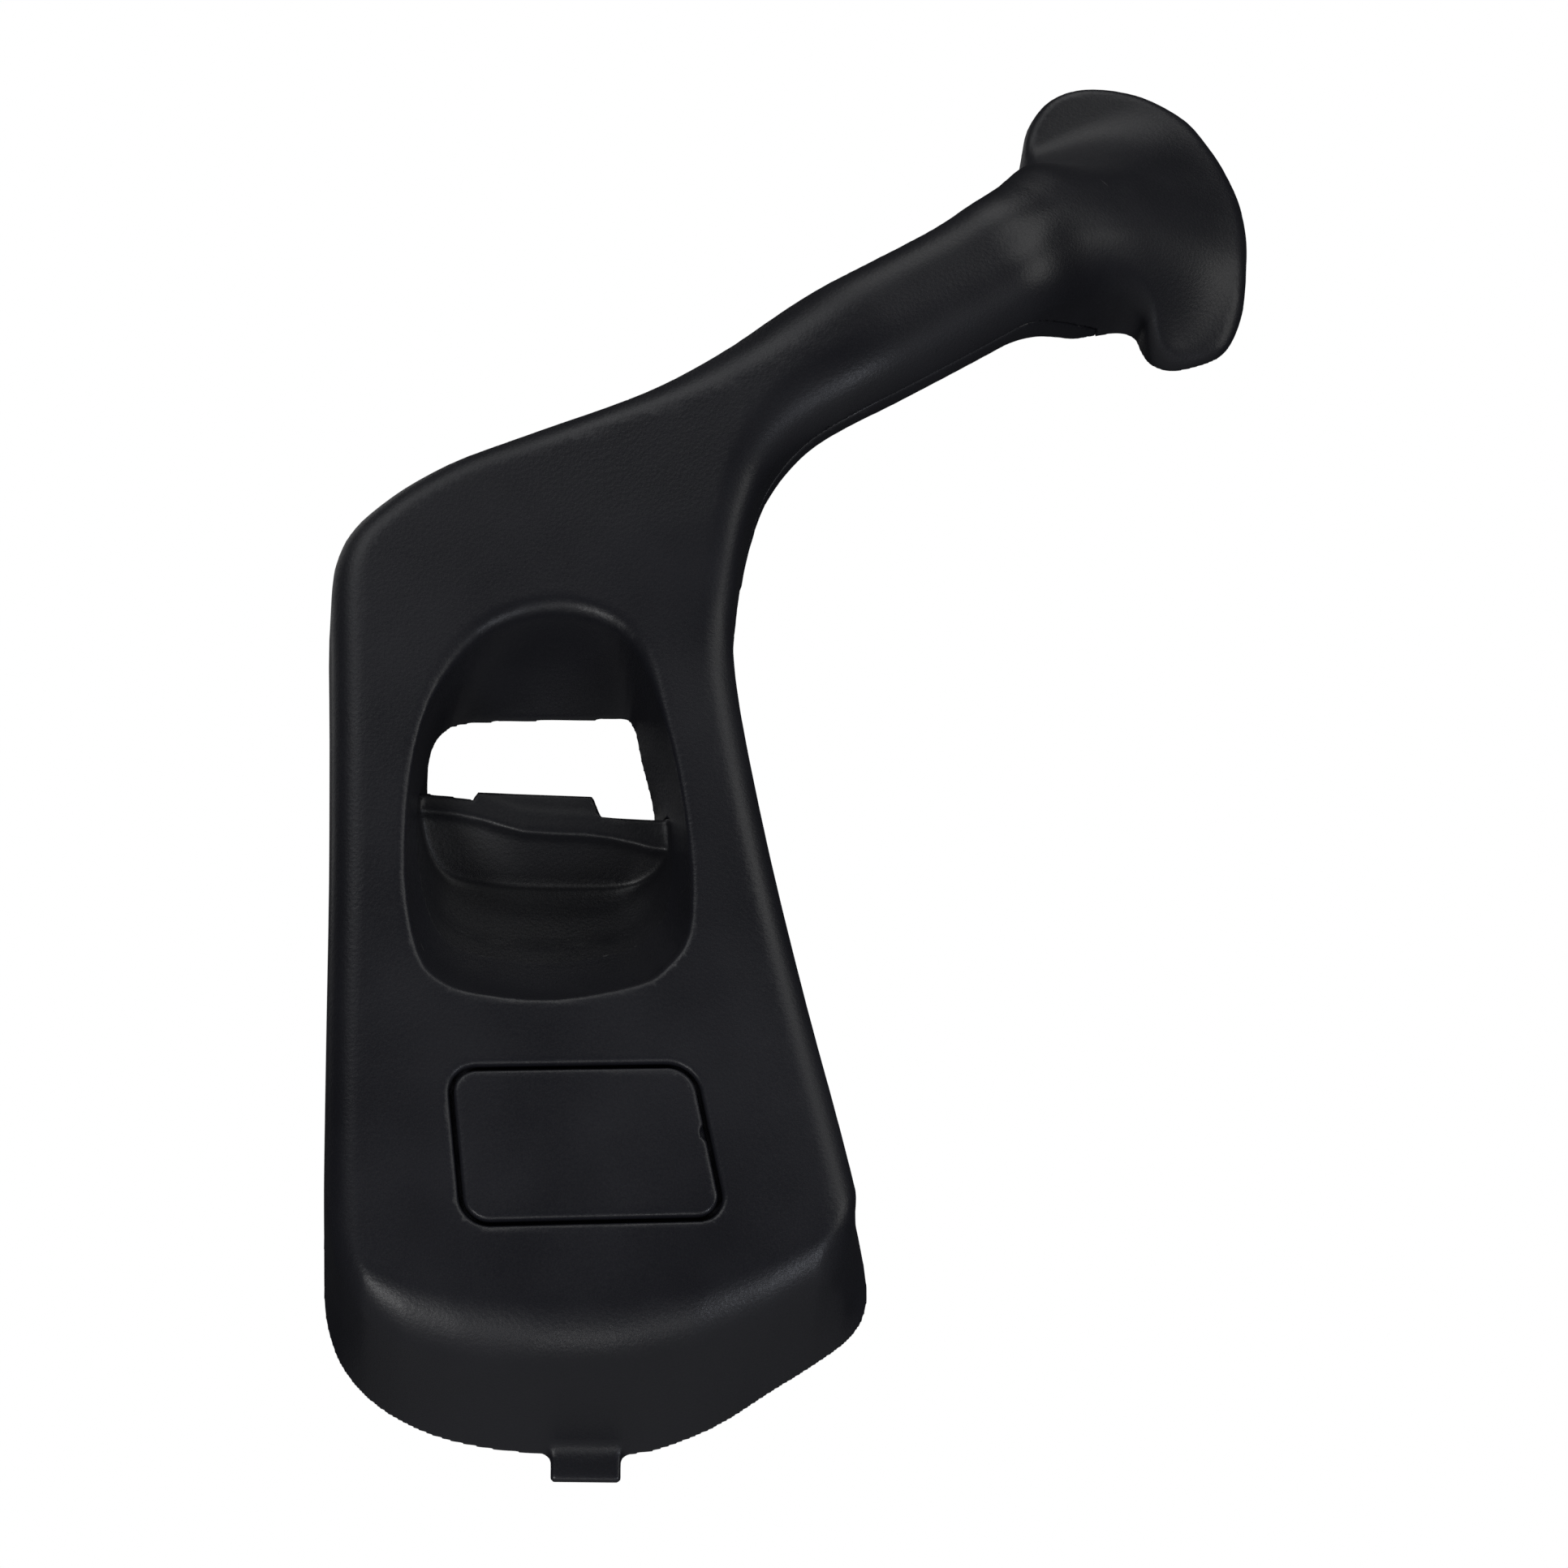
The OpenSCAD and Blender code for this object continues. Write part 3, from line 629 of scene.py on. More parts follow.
class HandleFinish(bpy.types.PropertyGroup):
    """Colours and finishes."""
    plastic: FloatVectorProperty(
        name="Plastic", description="Colour of the mouldings",
        subtype="COLOR", size=3, default=(0.0140, 0.0143, 0.0190), min=0, max=1)
    cup: FloatVectorProperty(
        name="Cup", description="Colour of the finger cup",
        subtype="COLOR", size=3, default=(0.0140, 0.0143, 0.0175), min=0, max=1)
    zinc: FloatVectorProperty(
        name="Zinc", description="Colour of the plated steel",
        subtype="COLOR", size=3, default=(0.56, 0.56, 0.55), min=0, max=1)
    blued: FloatVectorProperty(
        name="Blued", description="Colour of the clips' spring steel",
        subtype="COLOR", size=3, default=(0.16, 0.17, 0.2), min=0, max=1)
    black_zinc: FloatVectorProperty(
        name="Black zinc", description="Colour of the tapping screws",
        subtype="COLOR", size=3, default=(0.05, 0.05, 0.055), min=0, max=1)
    foam: FloatVectorProperty(
        name="Foam", description="Colour of the foam",
        subtype="COLOR", size=3, default=(0.05, 0.05, 0.052), min=0, max=1)
    gloss: FloatProperty(
        name="Roughness", description="Roughness of the mouldings",
        default=0.42, min=0, max=1, subtype="FACTOR")
    sheen: FloatProperty(
        name="Sheen", description="Strength of the mouldings' reflections",
        default=0.45, min=0, max=1, subtype="FACTOR")


def sampled(low, high):
    step = bpy.context.scene.handle_shell.step
    return Samples(low, high, step)


def mesh_of(name, field, g, share=1.0, liner=None):
    """The mesh of a moulding's field."""
    return carve(name, field, g, bpy.context.scene.handle_shell.adaptivity * share, liner)


def plastic_of(name, colour):
    """The grained plastic of one moulding."""
    return grained_plastic(name, tuple(colour), bpy.context.scene.handle_finish.gloss, 0.75, 0.06)


class HANDLE_OT_front(bpy.types.Operator):
    """Makes the panel, the front of the arm and the foot, which are one moulding"""
    bl_idname = "handle.front"
    bl_label = "Front moulding"

    def execute(self, context):
        sizes = context.scene.handle_shell
        g = sampled((-58, -62, -6), (143, 252, 49))
        form, crest, s = outer_form(g)
        recess = recess_field(g)
        pocket = screw_pocket_field(g, crest)
        solid = both(form, -recess, sizes.rim_round * (0.6 + 0.9 * smooth(84, 104, g.z)))
        solid = both(solid, -pocket, POCKET_EDGE).astype(np.float32)
        seam = np.where(back_shell_reach(s) > 0, seam_depth(s), 0)
        shell = both(np.minimum(solid, sizes.wall - solid), g.d - seam, np.where(seam > 0, 0.15, 0.6))
        # The skirt stops short where the finger cup takes over
        limit = np.where(g.z > height_at(PLATE_TOP, g.x), RECESS_FLOOR, CUP_SEAM)
        over = np.minimum(sizes.wall + 0.8 + recess, limit - JOINT_OVERLAP - g.d)
        shell = np.minimum(shell, -over)
        within = solid - 1.2
        # Ribs across the panel, each with its height and how far right it reaches, and one upright rib
        for height, reach in ((-24, 60), (20, 60), (118, 13)):
            rib = overlap(RIB / 2 - np.abs(g.z - height - RIB / 2), g.d - 15, reach - g.x)
            shell = either(shell, np.minimum(rib, within), FILLET)
        upright = overlap(RIB / 2 - np.abs(g.x + 0.2), g.d - 16, 20 - np.abs(g.z - 132))
        shell = either(shell, np.minimum(upright, within), FILLET)
        # Cross-shaped blades that carry the spring clips
        for x, z, across in CLIPS:
            blade_size, fin_size = ((8, 2.2), (RIB, 10)) if across else ((2.2, 8), (10, RIB))
            blade = block_of(g.x, g.z, g.d, (x, z, 18), (*blade_size, 44), 0.4)
            fin = block_of(g.x, g.z, g.d, (x, z, 21), (*fin_size, 32), 0.3)
            shell = either(shell, np.minimum(np.maximum(blade, fin), within), FILLET)
        # Bosses for the tapping screws, each with its end's depth and its radius
        bosses = [(p, CUP_SEAM + SEAM, 3.0) for p in CUP_SCREWS]
        bosses += [(p, 5.25, 3.2) for p in BRACKET_SCREWS]
        bosses += [(p, seam_at + SEAM, 2.6) for p, _, seam_at in SHELL_SCREWS]
        for place, depth, r in bosses:
            boss = overlap(rod(g, place, r), g.d - depth, within)
            shell = np.maximum(shell, boss)
            pilot = overlap(rod(g, place, 1.2), depth + 3.5 - g.d, g.d - depth + 2)
            shell = np.minimum(shell, -pilot)
        for place in SLEEVES:
            shell = np.minimum(shell, -overlap(rod(g, place, 5.1), 12 - g.d))
        middle = 1.5 - 0.1 * (g.z + 58) / 10
        tongue = block_of(g.x, g.z, g.d, (middle, -52, 1.45), (13.2, 12.2, 2.3), 0.7)
        shell = either(shell, tongue, 2.2)
        obj = mesh_of("front_moulding", shell, g, liner=-recess)
        finish_piece(obj, plastic_of("grained_front", context.scene.handle_finish.plastic), "moulded_front",
                     BODY, "bezel_cover")
        return {"FINISHED"}


class HANDLE_OT_back(bpy.types.Operator):
    """Makes the shell that closes the back of the arm"""
    bl_idname = "handle.back"
    bl_label = "Back shell"

    def execute(self, context):
        g = sampled((-20, 122, -3), (112, 222, 40))
        form, _, s = outer_form(g)
        room = seam_depth(s) - back_depth(s)
        round_over = np.clip(room * 0.8, 0.6, 8) * (1 - smooth(44, 64, s)) + 0.4
        solid = both(form, g.d - np.maximum(back_depth(s), 0), round_over).astype(np.float32)
        ends = back_shell_reach(s) - SEAM
        wall = context.scene.handle_shell.wall
        shell = overlap(solid, wall - solid, seam_depth(s) - SEAM - g.d, ends)
        for place, seat, seam_at in SHELL_SCREWS:
            boss = overlap(rod(g, place, 2.6), g.d - seat + 0.5, seam_at - SEAM - g.d, solid - 0.5)
            shell = np.maximum(shell, boss)
            shell = np.minimum(shell, -np.minimum(rod(g, place, 2.9), seat + 1.5 - g.d))
            shell = np.minimum(shell, -rod(g, place, SCREW_HOLE))
        obj = mesh_of("back_moulding", shell, g)
        finish_piece(obj, plastic_of("grained_back", context.scene.handle_finish.plastic), "moulded_back",
                     BODY, "grab_back_shell")
        return {"FINISHED"}


class HANDLE_OT_cup(bpy.types.Operator):
    """Makes the finger cup that closes the recess below the lever opening"""
    bl_idname = "handle.cup"
    bl_label = "Finger cup"

    def execute(self, context):
        sizes = context.scene.handle_shell
        g = sampled((-49, 24, -2), (24, 80, 17))
        recess = recess_field(g)
        bowl = both(recess + sizes.skirt, g.d - 0.8, 1.6)
        hollow = both(recess, g.d - RECESS_FLOOR, 2.4)
        lip, top = height_at(PLATE_LIP, g.x), height_at(PLATE_TOP, g.x)
        cup = overlap(bowl, -hollow, top - g.z)
        plate = both(both(g.d - 10.8, 12.9 - g.d, 0.5), both(g.z - lip, top - g.z, 0.5), 0.7)
        fall = (lip - 58.6) / 9.6
        under = (g.z - lip + (12.2 - g.d) * fall) / np.sqrt(1 + fall * fall)
        ceiling = overlap(under, 2.1 - under, 12.6 - g.d, g.d - 1.2)
        web = np.minimum(either(plate, ceiling, 1.6), recess + 0.8)
        cup = either(cup, web, 1.4)
        flange = inside_of(CUP_FLANGE, *g.flat)[:, :, None]
        flange = overlap(flange, g.d - 11.3, CUP_SEAM - SEAM - g.d, -recess)
        cup = either(cup, flange, FILLET)
        cup = np.minimum(cup, CUP_SEAM + JOINT_OVERLAP - g.d)
        for place in CUP_SCREWS:
            cup = np.minimum(cup, -rod(g, place, SCREW_HOLE))
        obj = mesh_of("finger_cup_moulding", cup, g, 0.6, liner=-recess)
        finish_piece(obj, plastic_of("grained_cup", context.scene.handle_finish.cup), "cup_plastic",
                     BODY, "finger_cup")
        return {"FINISHED"}


class HANDLE_OT_cover(bpy.types.Operator):
    """Makes the snap-in cover over the lower screws"""
    bl_idname = "handle.cover"
    bl_label = "Screw cover"

    def execute(self, context):
        sizes = context.scene.handle_cover
        g = Samples((-30, -19, 16), (30, 20, 31), 0.28)
        x, z = g.flat
        crest = crest_depth(x, z, arm_frame(x, z)[0])[:, :, None].astype(np.float32)
        outline = rounded_polygon(COVER_CORNERS, COVER_ROUND, x, z)[:, :, None] - sizes.gap
        plate = both(outline, crest - g.d, sizes.edge)
        cover = np.minimum(plate, g.d - crest + sizes.thickness)
        notch = sizes.notch - np.hypot(g.x - PRY_NOTCH[0], g.z - PRY_NOTCH[1])
        notch = np.minimum(notch, g.d - crest + 1.5)
        cover = both(cover, -notch, 0.3)
        for x0, z0 in SNAP_TONGUES:
            tongue = block_of(g.x, g.z, g.d, (x0 + 0.8, z0 + 3, 23.4), (1.6, 6, 8.8), 0.4)
            barb = 0.9 - np.hypot(g.x - x0 - (0.4 if x0 < 0 else 1.2), g.d - 20.6)
            barb = np.minimum(barb, 2.4 - np.abs(g.z - z0 - 3))
            cover = either(cover, either(tongue, barb, 0.5), FILLET)
        rib = block_of(g.x, g.z, g.d, (-1, 0, 26), (28, RIB, 4), 0.4)
        cover = either(cover, rib, FILLET)
        obj = mesh_of("screw_cover_moulding", cover, g, 0.6)
        finish_piece(obj, plastic_of("grained_cover", context.scene.handle_finish.plastic), "cover_plastic",
                     COVER_BODY, "screw_cover")
        return {"FINISHED"}


class HANDLE_OT_rod(bpy.types.Operator):
    """Makes the bent steel rod inside the arm"""
    bl_idname = "handle.rod"
    bl_label = "Steel rod"

    def execute(self, context):
        r = context.scene.handle_fasteners.rod
        route = np.array([(x, -d, z) for x, z, d in CORE_PATH]) * MM
        curve = bpy.data.curves.new("steel_rod", "CURVE")
        curve.dimensions = "3D"
        line = curve.splines.new("NURBS")
        line.points.add(len(route) - 1)
        for point, place in zip(line.points, route):
            point.co = (*place, 1)
        line.use_endpoint_u = True
        line.order_u = 3
        line.resolution_u = 8
        curve.bevel_depth = r
        curve.bevel_resolution = 6
        curve.use_fill_caps = True
        holder = new_object("steel_rod", curve)
        graph = context.evaluated_depsgraph_get()
        mesh = bpy.data.meshes.new_from_object(holder.evaluated_get(graph), depsgraph=graph)
        bpy.data.objects.remove(holder)
        bm = bmesh.new()
        bm.from_mesh(mesh)
        bmesh.ops.remove_doubles(bm, verts=bm.verts, dist=1e-6)
        ends = [e for e in bm.edges if len(e.link_faces) == 2 and e.calc_face_angle(0) > math.radians(60)]
        bmesh.ops.bevel(bm, geom=ends, offset=0.8 * MM, segments=3, profile=0.5, affect="EDGES")
        bm.to_mesh(mesh)
        bm.free()
        mesh.materials.clear()
        mesh.shade_smooth()
        mesh.set_sharp_from_angle(angle=math.radians(40))
        obj = new_object("steel_rod", mesh)
        finish = context.scene.handle_finish
        steel = plated_steel("drawn_steel", tuple(finish.zinc), 0.34, 1.6)
        finish_piece(obj, steel, "core_steel", BODY, "steel_core")
        return {"FINISHED"}


def placed(name, template, places, material):
    """Copies of a template, each put at a place and turned about the axis that leads out from the door."""
    labels = [(f"Place {i + 1}", f"Turn {i + 1}") for i in range(len(places))]
    sockets = [("Piece", "NodeSocketGeometry", None)]
    for place_label, turn_label in labels:
        sockets += [(place_label, "NodeSocketVector", None), (turn_label, "NodeSocketFloat", None)]
    tree, given = geometry_tree(name + "_tree", sockets)
    joined = tree.nodes.new("GeometryNodeJoinGeometry")
    for place_label, turn_label in reversed(labels):
        point = add_node(tree, "GeometryNodePoints", {"Count": 1, "Position": given[place_label]})
        turn = add_node(tree, "ShaderNodeCombineXYZ", {"Y": given[turn_label]})
        copy = add_node(tree, "GeometryNodeInstanceOnPoints", {
            "Points": point.outputs[0], "Instance": given["Piece"], "Rotation": turn.outputs[0]})
        tree.links.new(copy.outputs[0], joined.inputs[0])
    close_tree(tree, joined.outputs[0], material)
    values = {}
    for (place_label, turn_label), ((x, z, d), turn) in zip(labels, places):
        values[place_label] = (x * MM, -d * MM, z * MM)
        values[turn_label] = turn
    template.name = name
    return grown(template, tree, values)


def thread(g, r, pitch, depth, start, end):
    """A threaded shank between two depths, tapered at its tip."""
    turn = np.arctan2(g.z, g.x) / (2 * math.pi)
    tooth = np.abs((g.d / pitch - turn) % 1 - 0.5) * 2
    tip = np.clip((start + 1.2 * depth + pitch - g.d) / pitch, 0, 1) * depth * 1.3
    return overlap((r - depth * tooth - tip - np.hypot(g.x, g.z)) * 0.8, g.d - start, end - g.d)


def cross_recess(g, r, width, low, high):
    """The cross-shaped socket of a screw head, narrower towards its floor."""
    lean = (g.d - low) * 0.12
    bars = [overlap(width / 2 - lean - np.abs(a), r - lean - np.abs(b)) for a, b in ((g.x, g.z), (g.z, g.x))]
    return np.minimum(either(bars[0], bars[1], 0.4), high - g.d)


def tapping_screw(length):
    """A pan-head tapping screw, its head's back at depth 0 and its shank outwards."""
    g = Samples((-3.2, -3.2, -2.6), (3.2, 3.2, length + 0.6), 0.14)
    away = np.hypot(g.x, g.z)
    head = both(both(2.6 - away, -g.d, 0.15), g.d + 1.9 - 0.1 * (1 - (away / 2.6) ** 2), 0.9)
    head = both(head, -cross_recess(g, 1.5, 0.62, -2.4, -0.75), 0.12)
    core = overlap(0.82 + np.minimum(0, (length - g.d) * 0.5) - away, g.d + 0.5, length - g.d)
    ridge = thread(g, 1.15, 0.9, 0.36, -0.2, length - 0.3)
    return carve("tapping_screw", either(np.maximum(core, ridge), head, 0.3), g, 0.02)


class HANDLE_OT_screws(bpy.types.Operator):
    """Makes the tapping screws, the mounting screws and the foot's stud"""
    bl_idname = "handle.screws"
    bl_label = "Screws and stud"

    def execute(self, context):
        sizes = context.scene.handle_fasteners
        finish = context.scene.handle_finish
        black = plated_steel("black_zinc", tuple(finish.black_zinc), 0.36, 0.6)
        zinc = plated_steel("zinc_plate", tuple(finish.zinc), 0.3, 1.2)
        turns = (0.4, 1.1, 2.3)
        sets = [
            ("cup_tapping_screws", [(x, z, CUP_SEAM - 2.65) for x, z in CUP_SCREWS], 6.4, "cup_screws"),
            ("bracket_tapping_screws", [(x, z, 2.85) for x, z in BRACKET_SCREWS], 11.8, "bracket_screws"),
            ("arm_tapping_screws", [(*p, seat + 1.45) for p, seat, _ in SHELL_SCREWS], 12.5, "shell_screws"),
        ]
        for name, places, length, node in sets:
            obj = placed(name, tapping_screw(length), list(zip(places, turns)), black)
            finish_piece(obj, black, "screw_black", BODY, node)
        # The mounting screws: six-sided heads with a washer face, threaded behind the door plane
        r, reach = sizes.mount_thread / MM, sizes.mount_reach / MM
        pitch, seat = sizes.pitch / MM, POCKET_FLOOR + 2.25
        g = Samples((-6.6, -6.6, -reach - 0.6), (6.6, 6.6, seat + 6.4), 0.22)
        away = np.hypot(g.x, g.z)
        flats = [4.85 - np.abs(g.x * math.cos(a) + g.z * math.sin(a)) for a in np.radians((0, 60, 120))]
        head = both(overlap(*flats), 5.35 - away + np.minimum(0, (seat + 3.6 - g.d) * 0.6), 0.3)
        head = overlap(head, g.d - seat - 0.5, seat + 5.6 - g.d)
        head = both(head, -np.minimum(3.4 - away, g.d - seat - 4), 0.4)
        flange = both(both(6 - away, g.d - seat, 0.2), seat + 1.4 - g.d, 0.5)
        shank = overlap(r - 0.2 - away, g.d + 2, seat + 1 - g.d)
        threaded = either(shank, thread(g, r, pitch, 0.6, -reach, 0.6), 0.2)
        screw = either(threaded, either(head, flange, FILLET), 0.6)
        template = carve("mounting_screw", screw, g, 0.015)
        obj = placed("mounting_screw_pair", template, [((x, z, 0), 0.3 + x * 0.05) for x, z in SLEEVES], zinc)
        finish_piece(obj, zinc, "fastener_steel", BODY, "mounting_screws")
        # The stud: a round head on the foot's plate and a thread behind the door plane
        g = Samples((-6.2, -6.2, -reach - 0.6), (6.2, 6.2, 6.6), 0.22)
        away = np.hypot(g.x, g.z)
        collar = both(both(5.5 - away, g.d - 3.35, 0.2), 5.7 - g.d, 0.6)
        shank = overlap(r - 0.2 - away, g.d + 3, 4.3 - g.d)
        stud = either(either(shank, thread(g, r, pitch, 0.6, -reach, -0.4), 0.2), collar, 0.5)
        obj = placed("foot_threaded_stud", carve("foot_stud_form", stud, g, 0.015), [((*STUD, 0), 0.2)], zinc)
        finish_piece(obj, zinc, "fastener_steel", BODY, "foot_stud")
        return {"FINISHED"}


class HANDLE_OT_clips(bpy.types.Operator):
    """Makes the sheet-steel clips that hold the panel's edge to the door trim"""
    bl_idname = "handle.clips"
    bl_label = "Spring clips"

    def execute(self, context):
        half = context.scene.handle_fasteners.sheet / MM / 2
        g = Samples((-4.6, -4.4, -10), (4.6, 4.4, 6), 0.17)
        line = [(1.68, 4.9), (1.68, 0.6), (3.2, -3.4), (1.0, -8.6)]
        across = np.abs(g.x)
        near = np.full(np.broadcast(g.x, g.d).shape, 99.0)
        for (ax, ad), (bx, bd) in zip(line, line[1:] + [(0, -8.75)]):
            ex, ed = bx - ax, bd - ad
            share = np.clip(((across - ax) * ex + (g.d - ad) * ed) / (ex * ex + ed * ed), 0, 1)
            near = np.minimum(near, np.hypot(across - ax - ex * share, g.d - ad - ed * share))
        sheet = both((half - near) + 0 * g.z, 3.5 - np.abs(g.z), 0.25)
        window = both(1.5 - np.abs(g.z), 1.7 - np.abs(g.d + 5.8), 0.4)
        sheet = np.minimum(sheet, -window)
        # A barb punched out of each leg bites the moulded blade
        leaning = 0.3 - np.abs(across - 1.4 + (g.d - 2.6) * 0.12)
        barb = overlap(leaning, 1.2 - np.abs(g.z), 1.2 - np.abs(g.d - 2.2))
        clip = either(sheet, barb, 0.2)
        finish = context.scene.handle_finish
        steel = plated_steel("blued_spring_steel", tuple(finish.blued), 0.32, 2.0)
        template = carve("spring_clip_form", clip, g, 0.01)
        places = [((x, z, 0), math.pi / 2 if turned else 0) for x, z, turned in CLIPS]
        obj = placed("spring_clips", template, places, steel)
        nodes = [f"spring_clip_{i + 1}" for i in range(len(CLIPS))]
        finish_piece(obj, steel, "clip_steel", BODY, *nodes)
        return {"FINISHED"}


class HANDLE_OT_plates(bpy.types.Operator):
    """Makes the bracket, the foot's plate, the sleeves and the washers"""
    bl_idname = "handle.plates"
    bl_label = "Plates and sleeves"

    def execute(self, context):
        finish = context.scene.handle_finish
        zinc = plated_steel("zinc_sheet", tuple(finish.zinc), 0.36, 2.4)
        for node, slot, edge in (
            ("lower_bracket", "plate_steel", 0.35), ("foot_plate", "plate_steel", 0.35),
            ("mounting_sleeve_left", "fastener_steel", 0.25),
            ("mounting_sleeve_right", "fastener_steel", 0.25),
            ("mounting_washers", "fastener_steel", 0.2),
        ):
            finish_piece(softened(node + "_finished", node, edge), zinc, slot, BODY, node)
        return {"FINISHED"}


class HANDLE_OT_foam(bpy.types.Operator):
    """Makes the foam pads under the foot and behind the finger cup"""
    bl_idname = "handle.foam"
    bl_label = "Foam pads"

    def execute(self, context):
        foam = cell_foam("closed_cell_foam", tuple(context.scene.handle_finish.foam))
        for node in ("foot_pad", "cup_foam_pad"):
            finish_piece(softened(node + "_finished", node, 0.2), foam, "foam", BODY, node)
        return {"FINISHED"}


class HandleStage(bpy.types.PropertyGroup):
    """The floor, the lights and the camera."""
    azimuth: FloatProperty(
        name="Azimuth", description="Turn of the camera round the handle",
        default=math.radians(-4), unit="ROTATION", subtype="ANGLE")
    elevation: FloatProperty(
        name="Elevation", description="Height of the camera above the horizon",
        default=math.radians(-20), unit="ROTATION", subtype="ANGLE")
    distance: FloatProperty(
        name="Distance", description="From the camera to the middle of the handle",
        default=0.7, unit="LENGTH", subtype="DISTANCE")
    lens: FloatProperty(
        name="Lens", description="Focal length, in millimetres", default=81.52, min=20)
    floor: FloatProperty(
        name="Floor", description="Height of the floor", default=-0.52, unit="LENGTH", subtype="DISTANCE")
    backdrop: FloatProperty(
        name="Backdrop", description="Brightness of the background", default=1.0, min=0)
    room: FloatProperty(
        name="Room", description="Brightness of the room's own light", default=0.01, min=0)
    top: FloatProperty(
        name="Top light", description="Power of the light overhead, in watts", default=1.1)
    upper: FloatProperty(
        name="Upper lights", description="Power of each light above the camera, in watts", default=1.75)
    low: FloatProperty(
        name="Low lights", description="Power of each light below the handle, in watts", default=0.15)


def facing(direction, place):
    """An object's turn when it stands at a place and looks along a direction, upright."""
    ahead = Vector(direction).normalized()
    right = ahead.cross(Vector((0, 0, 1))).normalized()
    above = right.cross(ahead)
    return Matrix.Translation(place) @ Matrix((right, above, -ahead)).transposed().to_4x4()


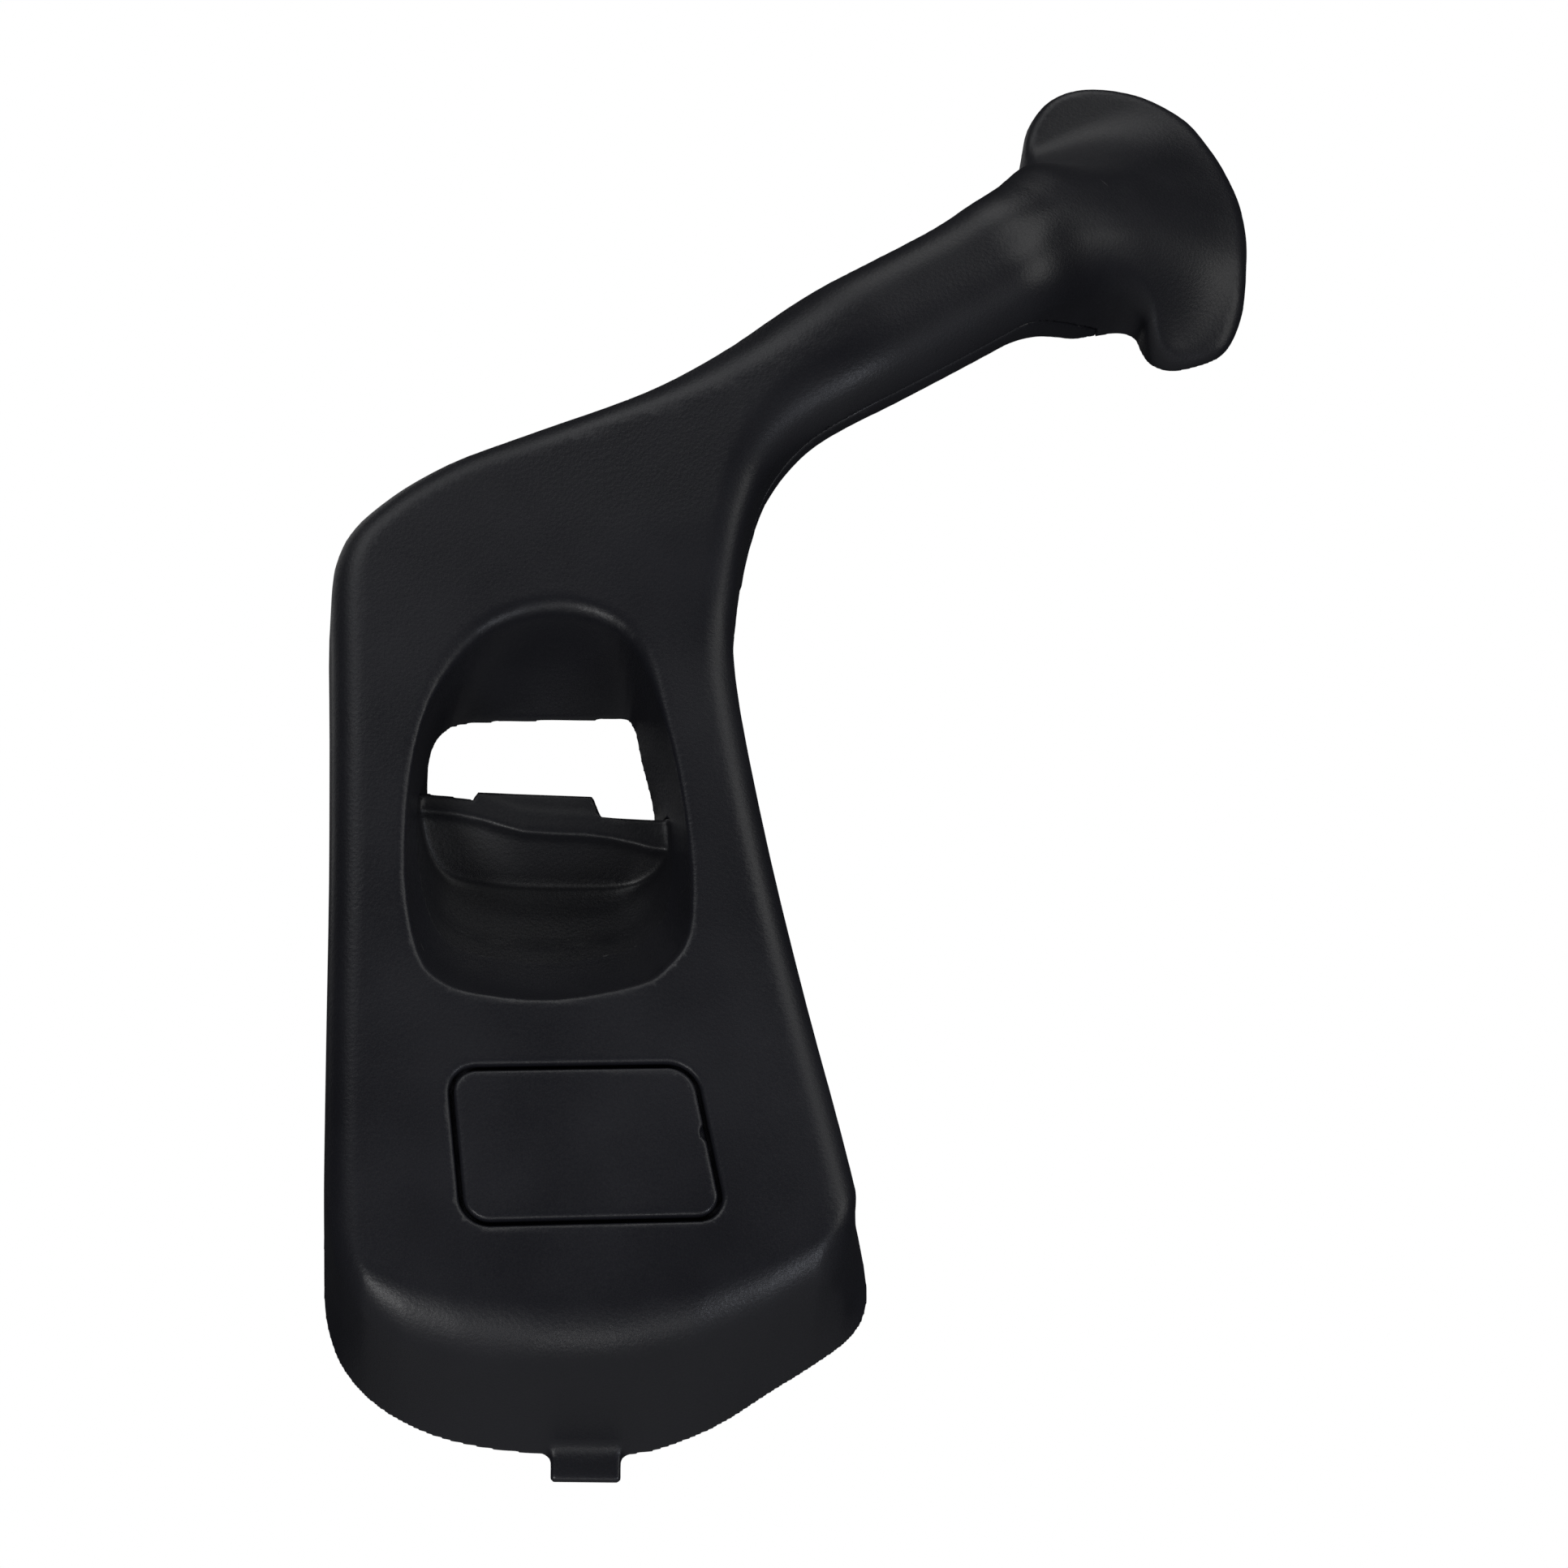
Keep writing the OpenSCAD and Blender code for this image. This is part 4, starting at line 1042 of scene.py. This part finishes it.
class HANDLE_OT_stage(bpy.types.Operator):
    """Makes the floor, the lights and the camera"""
    bl_idname = "handle.stage"
    bl_label = "Stage"

    def execute(self, context):
        stage = context.scene.handle_stage
        context.scene.view_settings.view_transform = "Standard"
        centre = Vector((37.7, -20, 76.1)) * MM
        back = Vector((math.sin(stage.azimuth) * math.cos(stage.elevation),
                       -math.cos(stage.azimuth) * math.cos(stage.elevation), math.sin(stage.elevation)))
        data = bpy.data.cameras.new("camera")
        data.lens = stage.lens
        data.sensor_width = 36
        data.clip_start = 0.01
        camera = new_object("camera", data)
        camera.matrix_world = facing(-back, centre + back * stage.distance)
        context.scene.camera = camera
        for name, away, reach, size, power, tint in (
            ("top_light", (0, -0.3, 0.95), 1.0, 0.6, stage.top, (1, 1, 0.99)),
            ("upper_light_left", (-0.55, -0.62, 0.6), 1.0, 0.7, stage.upper * 1.1, (0.98, 0.99, 1)),
            ("upper_light_right", (0.55, -0.62, 0.6), 1.0, 0.7, stage.upper, (1, 1, 0.98)),
            ("low_light_left", (-0.5, -0.58, -0.62), 0.5, 0.1, stage.low * 2.8, (1, 1, 1)),
            ("low_light_middle", (0, -0.56, -0.82), 0.5, 0.1, stage.low * 0.6, (1, 1, 1)),
            ("low_light_right", (0.5, -0.56, -0.64), 0.5, 0.1, stage.low * 1.8, (0.86, 0.9, 1)),
            ("side_light", (0.9, -0.4, 0.1), 0.9, 0.5, stage.upper * 0.6, (1, 1, 0.97)),
            ("rear_light", (-0.6, 0.6, 0.6), 1.1, 0.8, stage.upper * 0.5, (1, 1, 1)),
        ):
            lamp = bpy.data.lights.new(name, "AREA")
            lamp.shape, lamp.size, lamp.energy, lamp.color = "DISK", size, power, tint
            away = Vector(away).normalized()
            new_object(name, lamp).matrix_world = facing(-away, centre + away * reach)
        world = bpy.data.worlds.new("studio")
        world.use_nodes = True
        context.scene.world = world
        tree = world.node_tree
        tree.nodes.clear()
        room = add_node(tree, "ShaderNodeBackground", {"Color": (0.93, 0.96, 1, 1), "Strength": stage.room})
        seen = add_node(tree, "ShaderNodeBackground", {"Color": (1, 1, 1, 1), "Strength": stage.backdrop})
        path = add_node(tree, "ShaderNodeLightPath")
        mixed = add_node(tree, "ShaderNodeMixShader", {0: path.outputs["Is Camera Ray"], 1: room.outputs[0],
                                                      2: seen.outputs[0]})
        add_node(tree, "ShaderNodeOutputWorld", {"Surface": mixed.outputs[0]})
        bm = bmesh.new()
        bmesh.ops.create_grid(bm, x_segments=8, y_segments=8, size=4)
        bmesh.ops.translate(bm, verts=bm.verts, vec=(0, 0, stage.floor))
        mesh = bpy.data.meshes.new("floor")
        bm.to_mesh(mesh)
        bm.free()
        floor = new_object("floor", mesh)
        material, nodes, shader, place = shade("pale_floor", (0.8, 0.8, 0.8), 0.8)
        nodes.links.new(tinted(nodes, (0.8, 0.8, 0.8), noise(nodes, place, 6, 3), 0.97, 1.02),
                        shader.inputs["Base Color"])
        mesh.materials.append(material)
        return {"FINISHED"}


STEPS = (
    HANDLE_OT_front, HANDLE_OT_back, HANDLE_OT_cup, HANDLE_OT_cover, HANDLE_OT_rod, HANDLE_OT_screws,
    HANDLE_OT_clips, HANDLE_OT_plates, HANDLE_OT_foam, HANDLE_OT_stage,
)
GROUPS = (
    ("handle_shell", HandleShellSizes), ("handle_cover", HandleCoverSizes),
    ("handle_fasteners", HandleFastenerSizes), ("handle_finish", HandleFinish), ("handle_stage", HandleStage),
)


class HANDLE_PT_pieces(bpy.types.Panel):
    """Lists the handle's sizes and the steps that make its pieces"""
    bl_idname = "HANDLE_PT_pieces"
    bl_label = "Pull Handle"
    bl_space_type = "VIEW_3D"
    bl_region_type = "UI"
    bl_category = "Pull Handle"

    def draw(self, context):
        for name, group in GROUPS:
            box = self.layout.box()
            values = getattr(context.scene, name)
            for key in group.__annotations__:
                box.prop(values, key)
        for step in STEPS:
            self.layout.operator(step.bl_idname)


def register():
    for name, group in GROUPS:
        bpy.utils.register_class(group)
        setattr(bpy.types.Scene, name, PointerProperty(type=group))
    for kind in (*STEPS, HANDLE_PT_pieces):
        bpy.utils.register_class(kind)


def unregister():
    for kind in reversed((*STEPS, HANDLE_PT_pieces)):
        bpy.utils.unregister_class(kind)
    for name, group in reversed(GROUPS):
        delattr(bpy.types.Scene, name)
        bpy.utils.unregister_class(group)


def main():
    register()
    for step in STEPS:
        area, name = step.bl_idname.split(".")
        getattr(getattr(bpy.ops, area), name)()


if __name__ == "__main__":
    main()
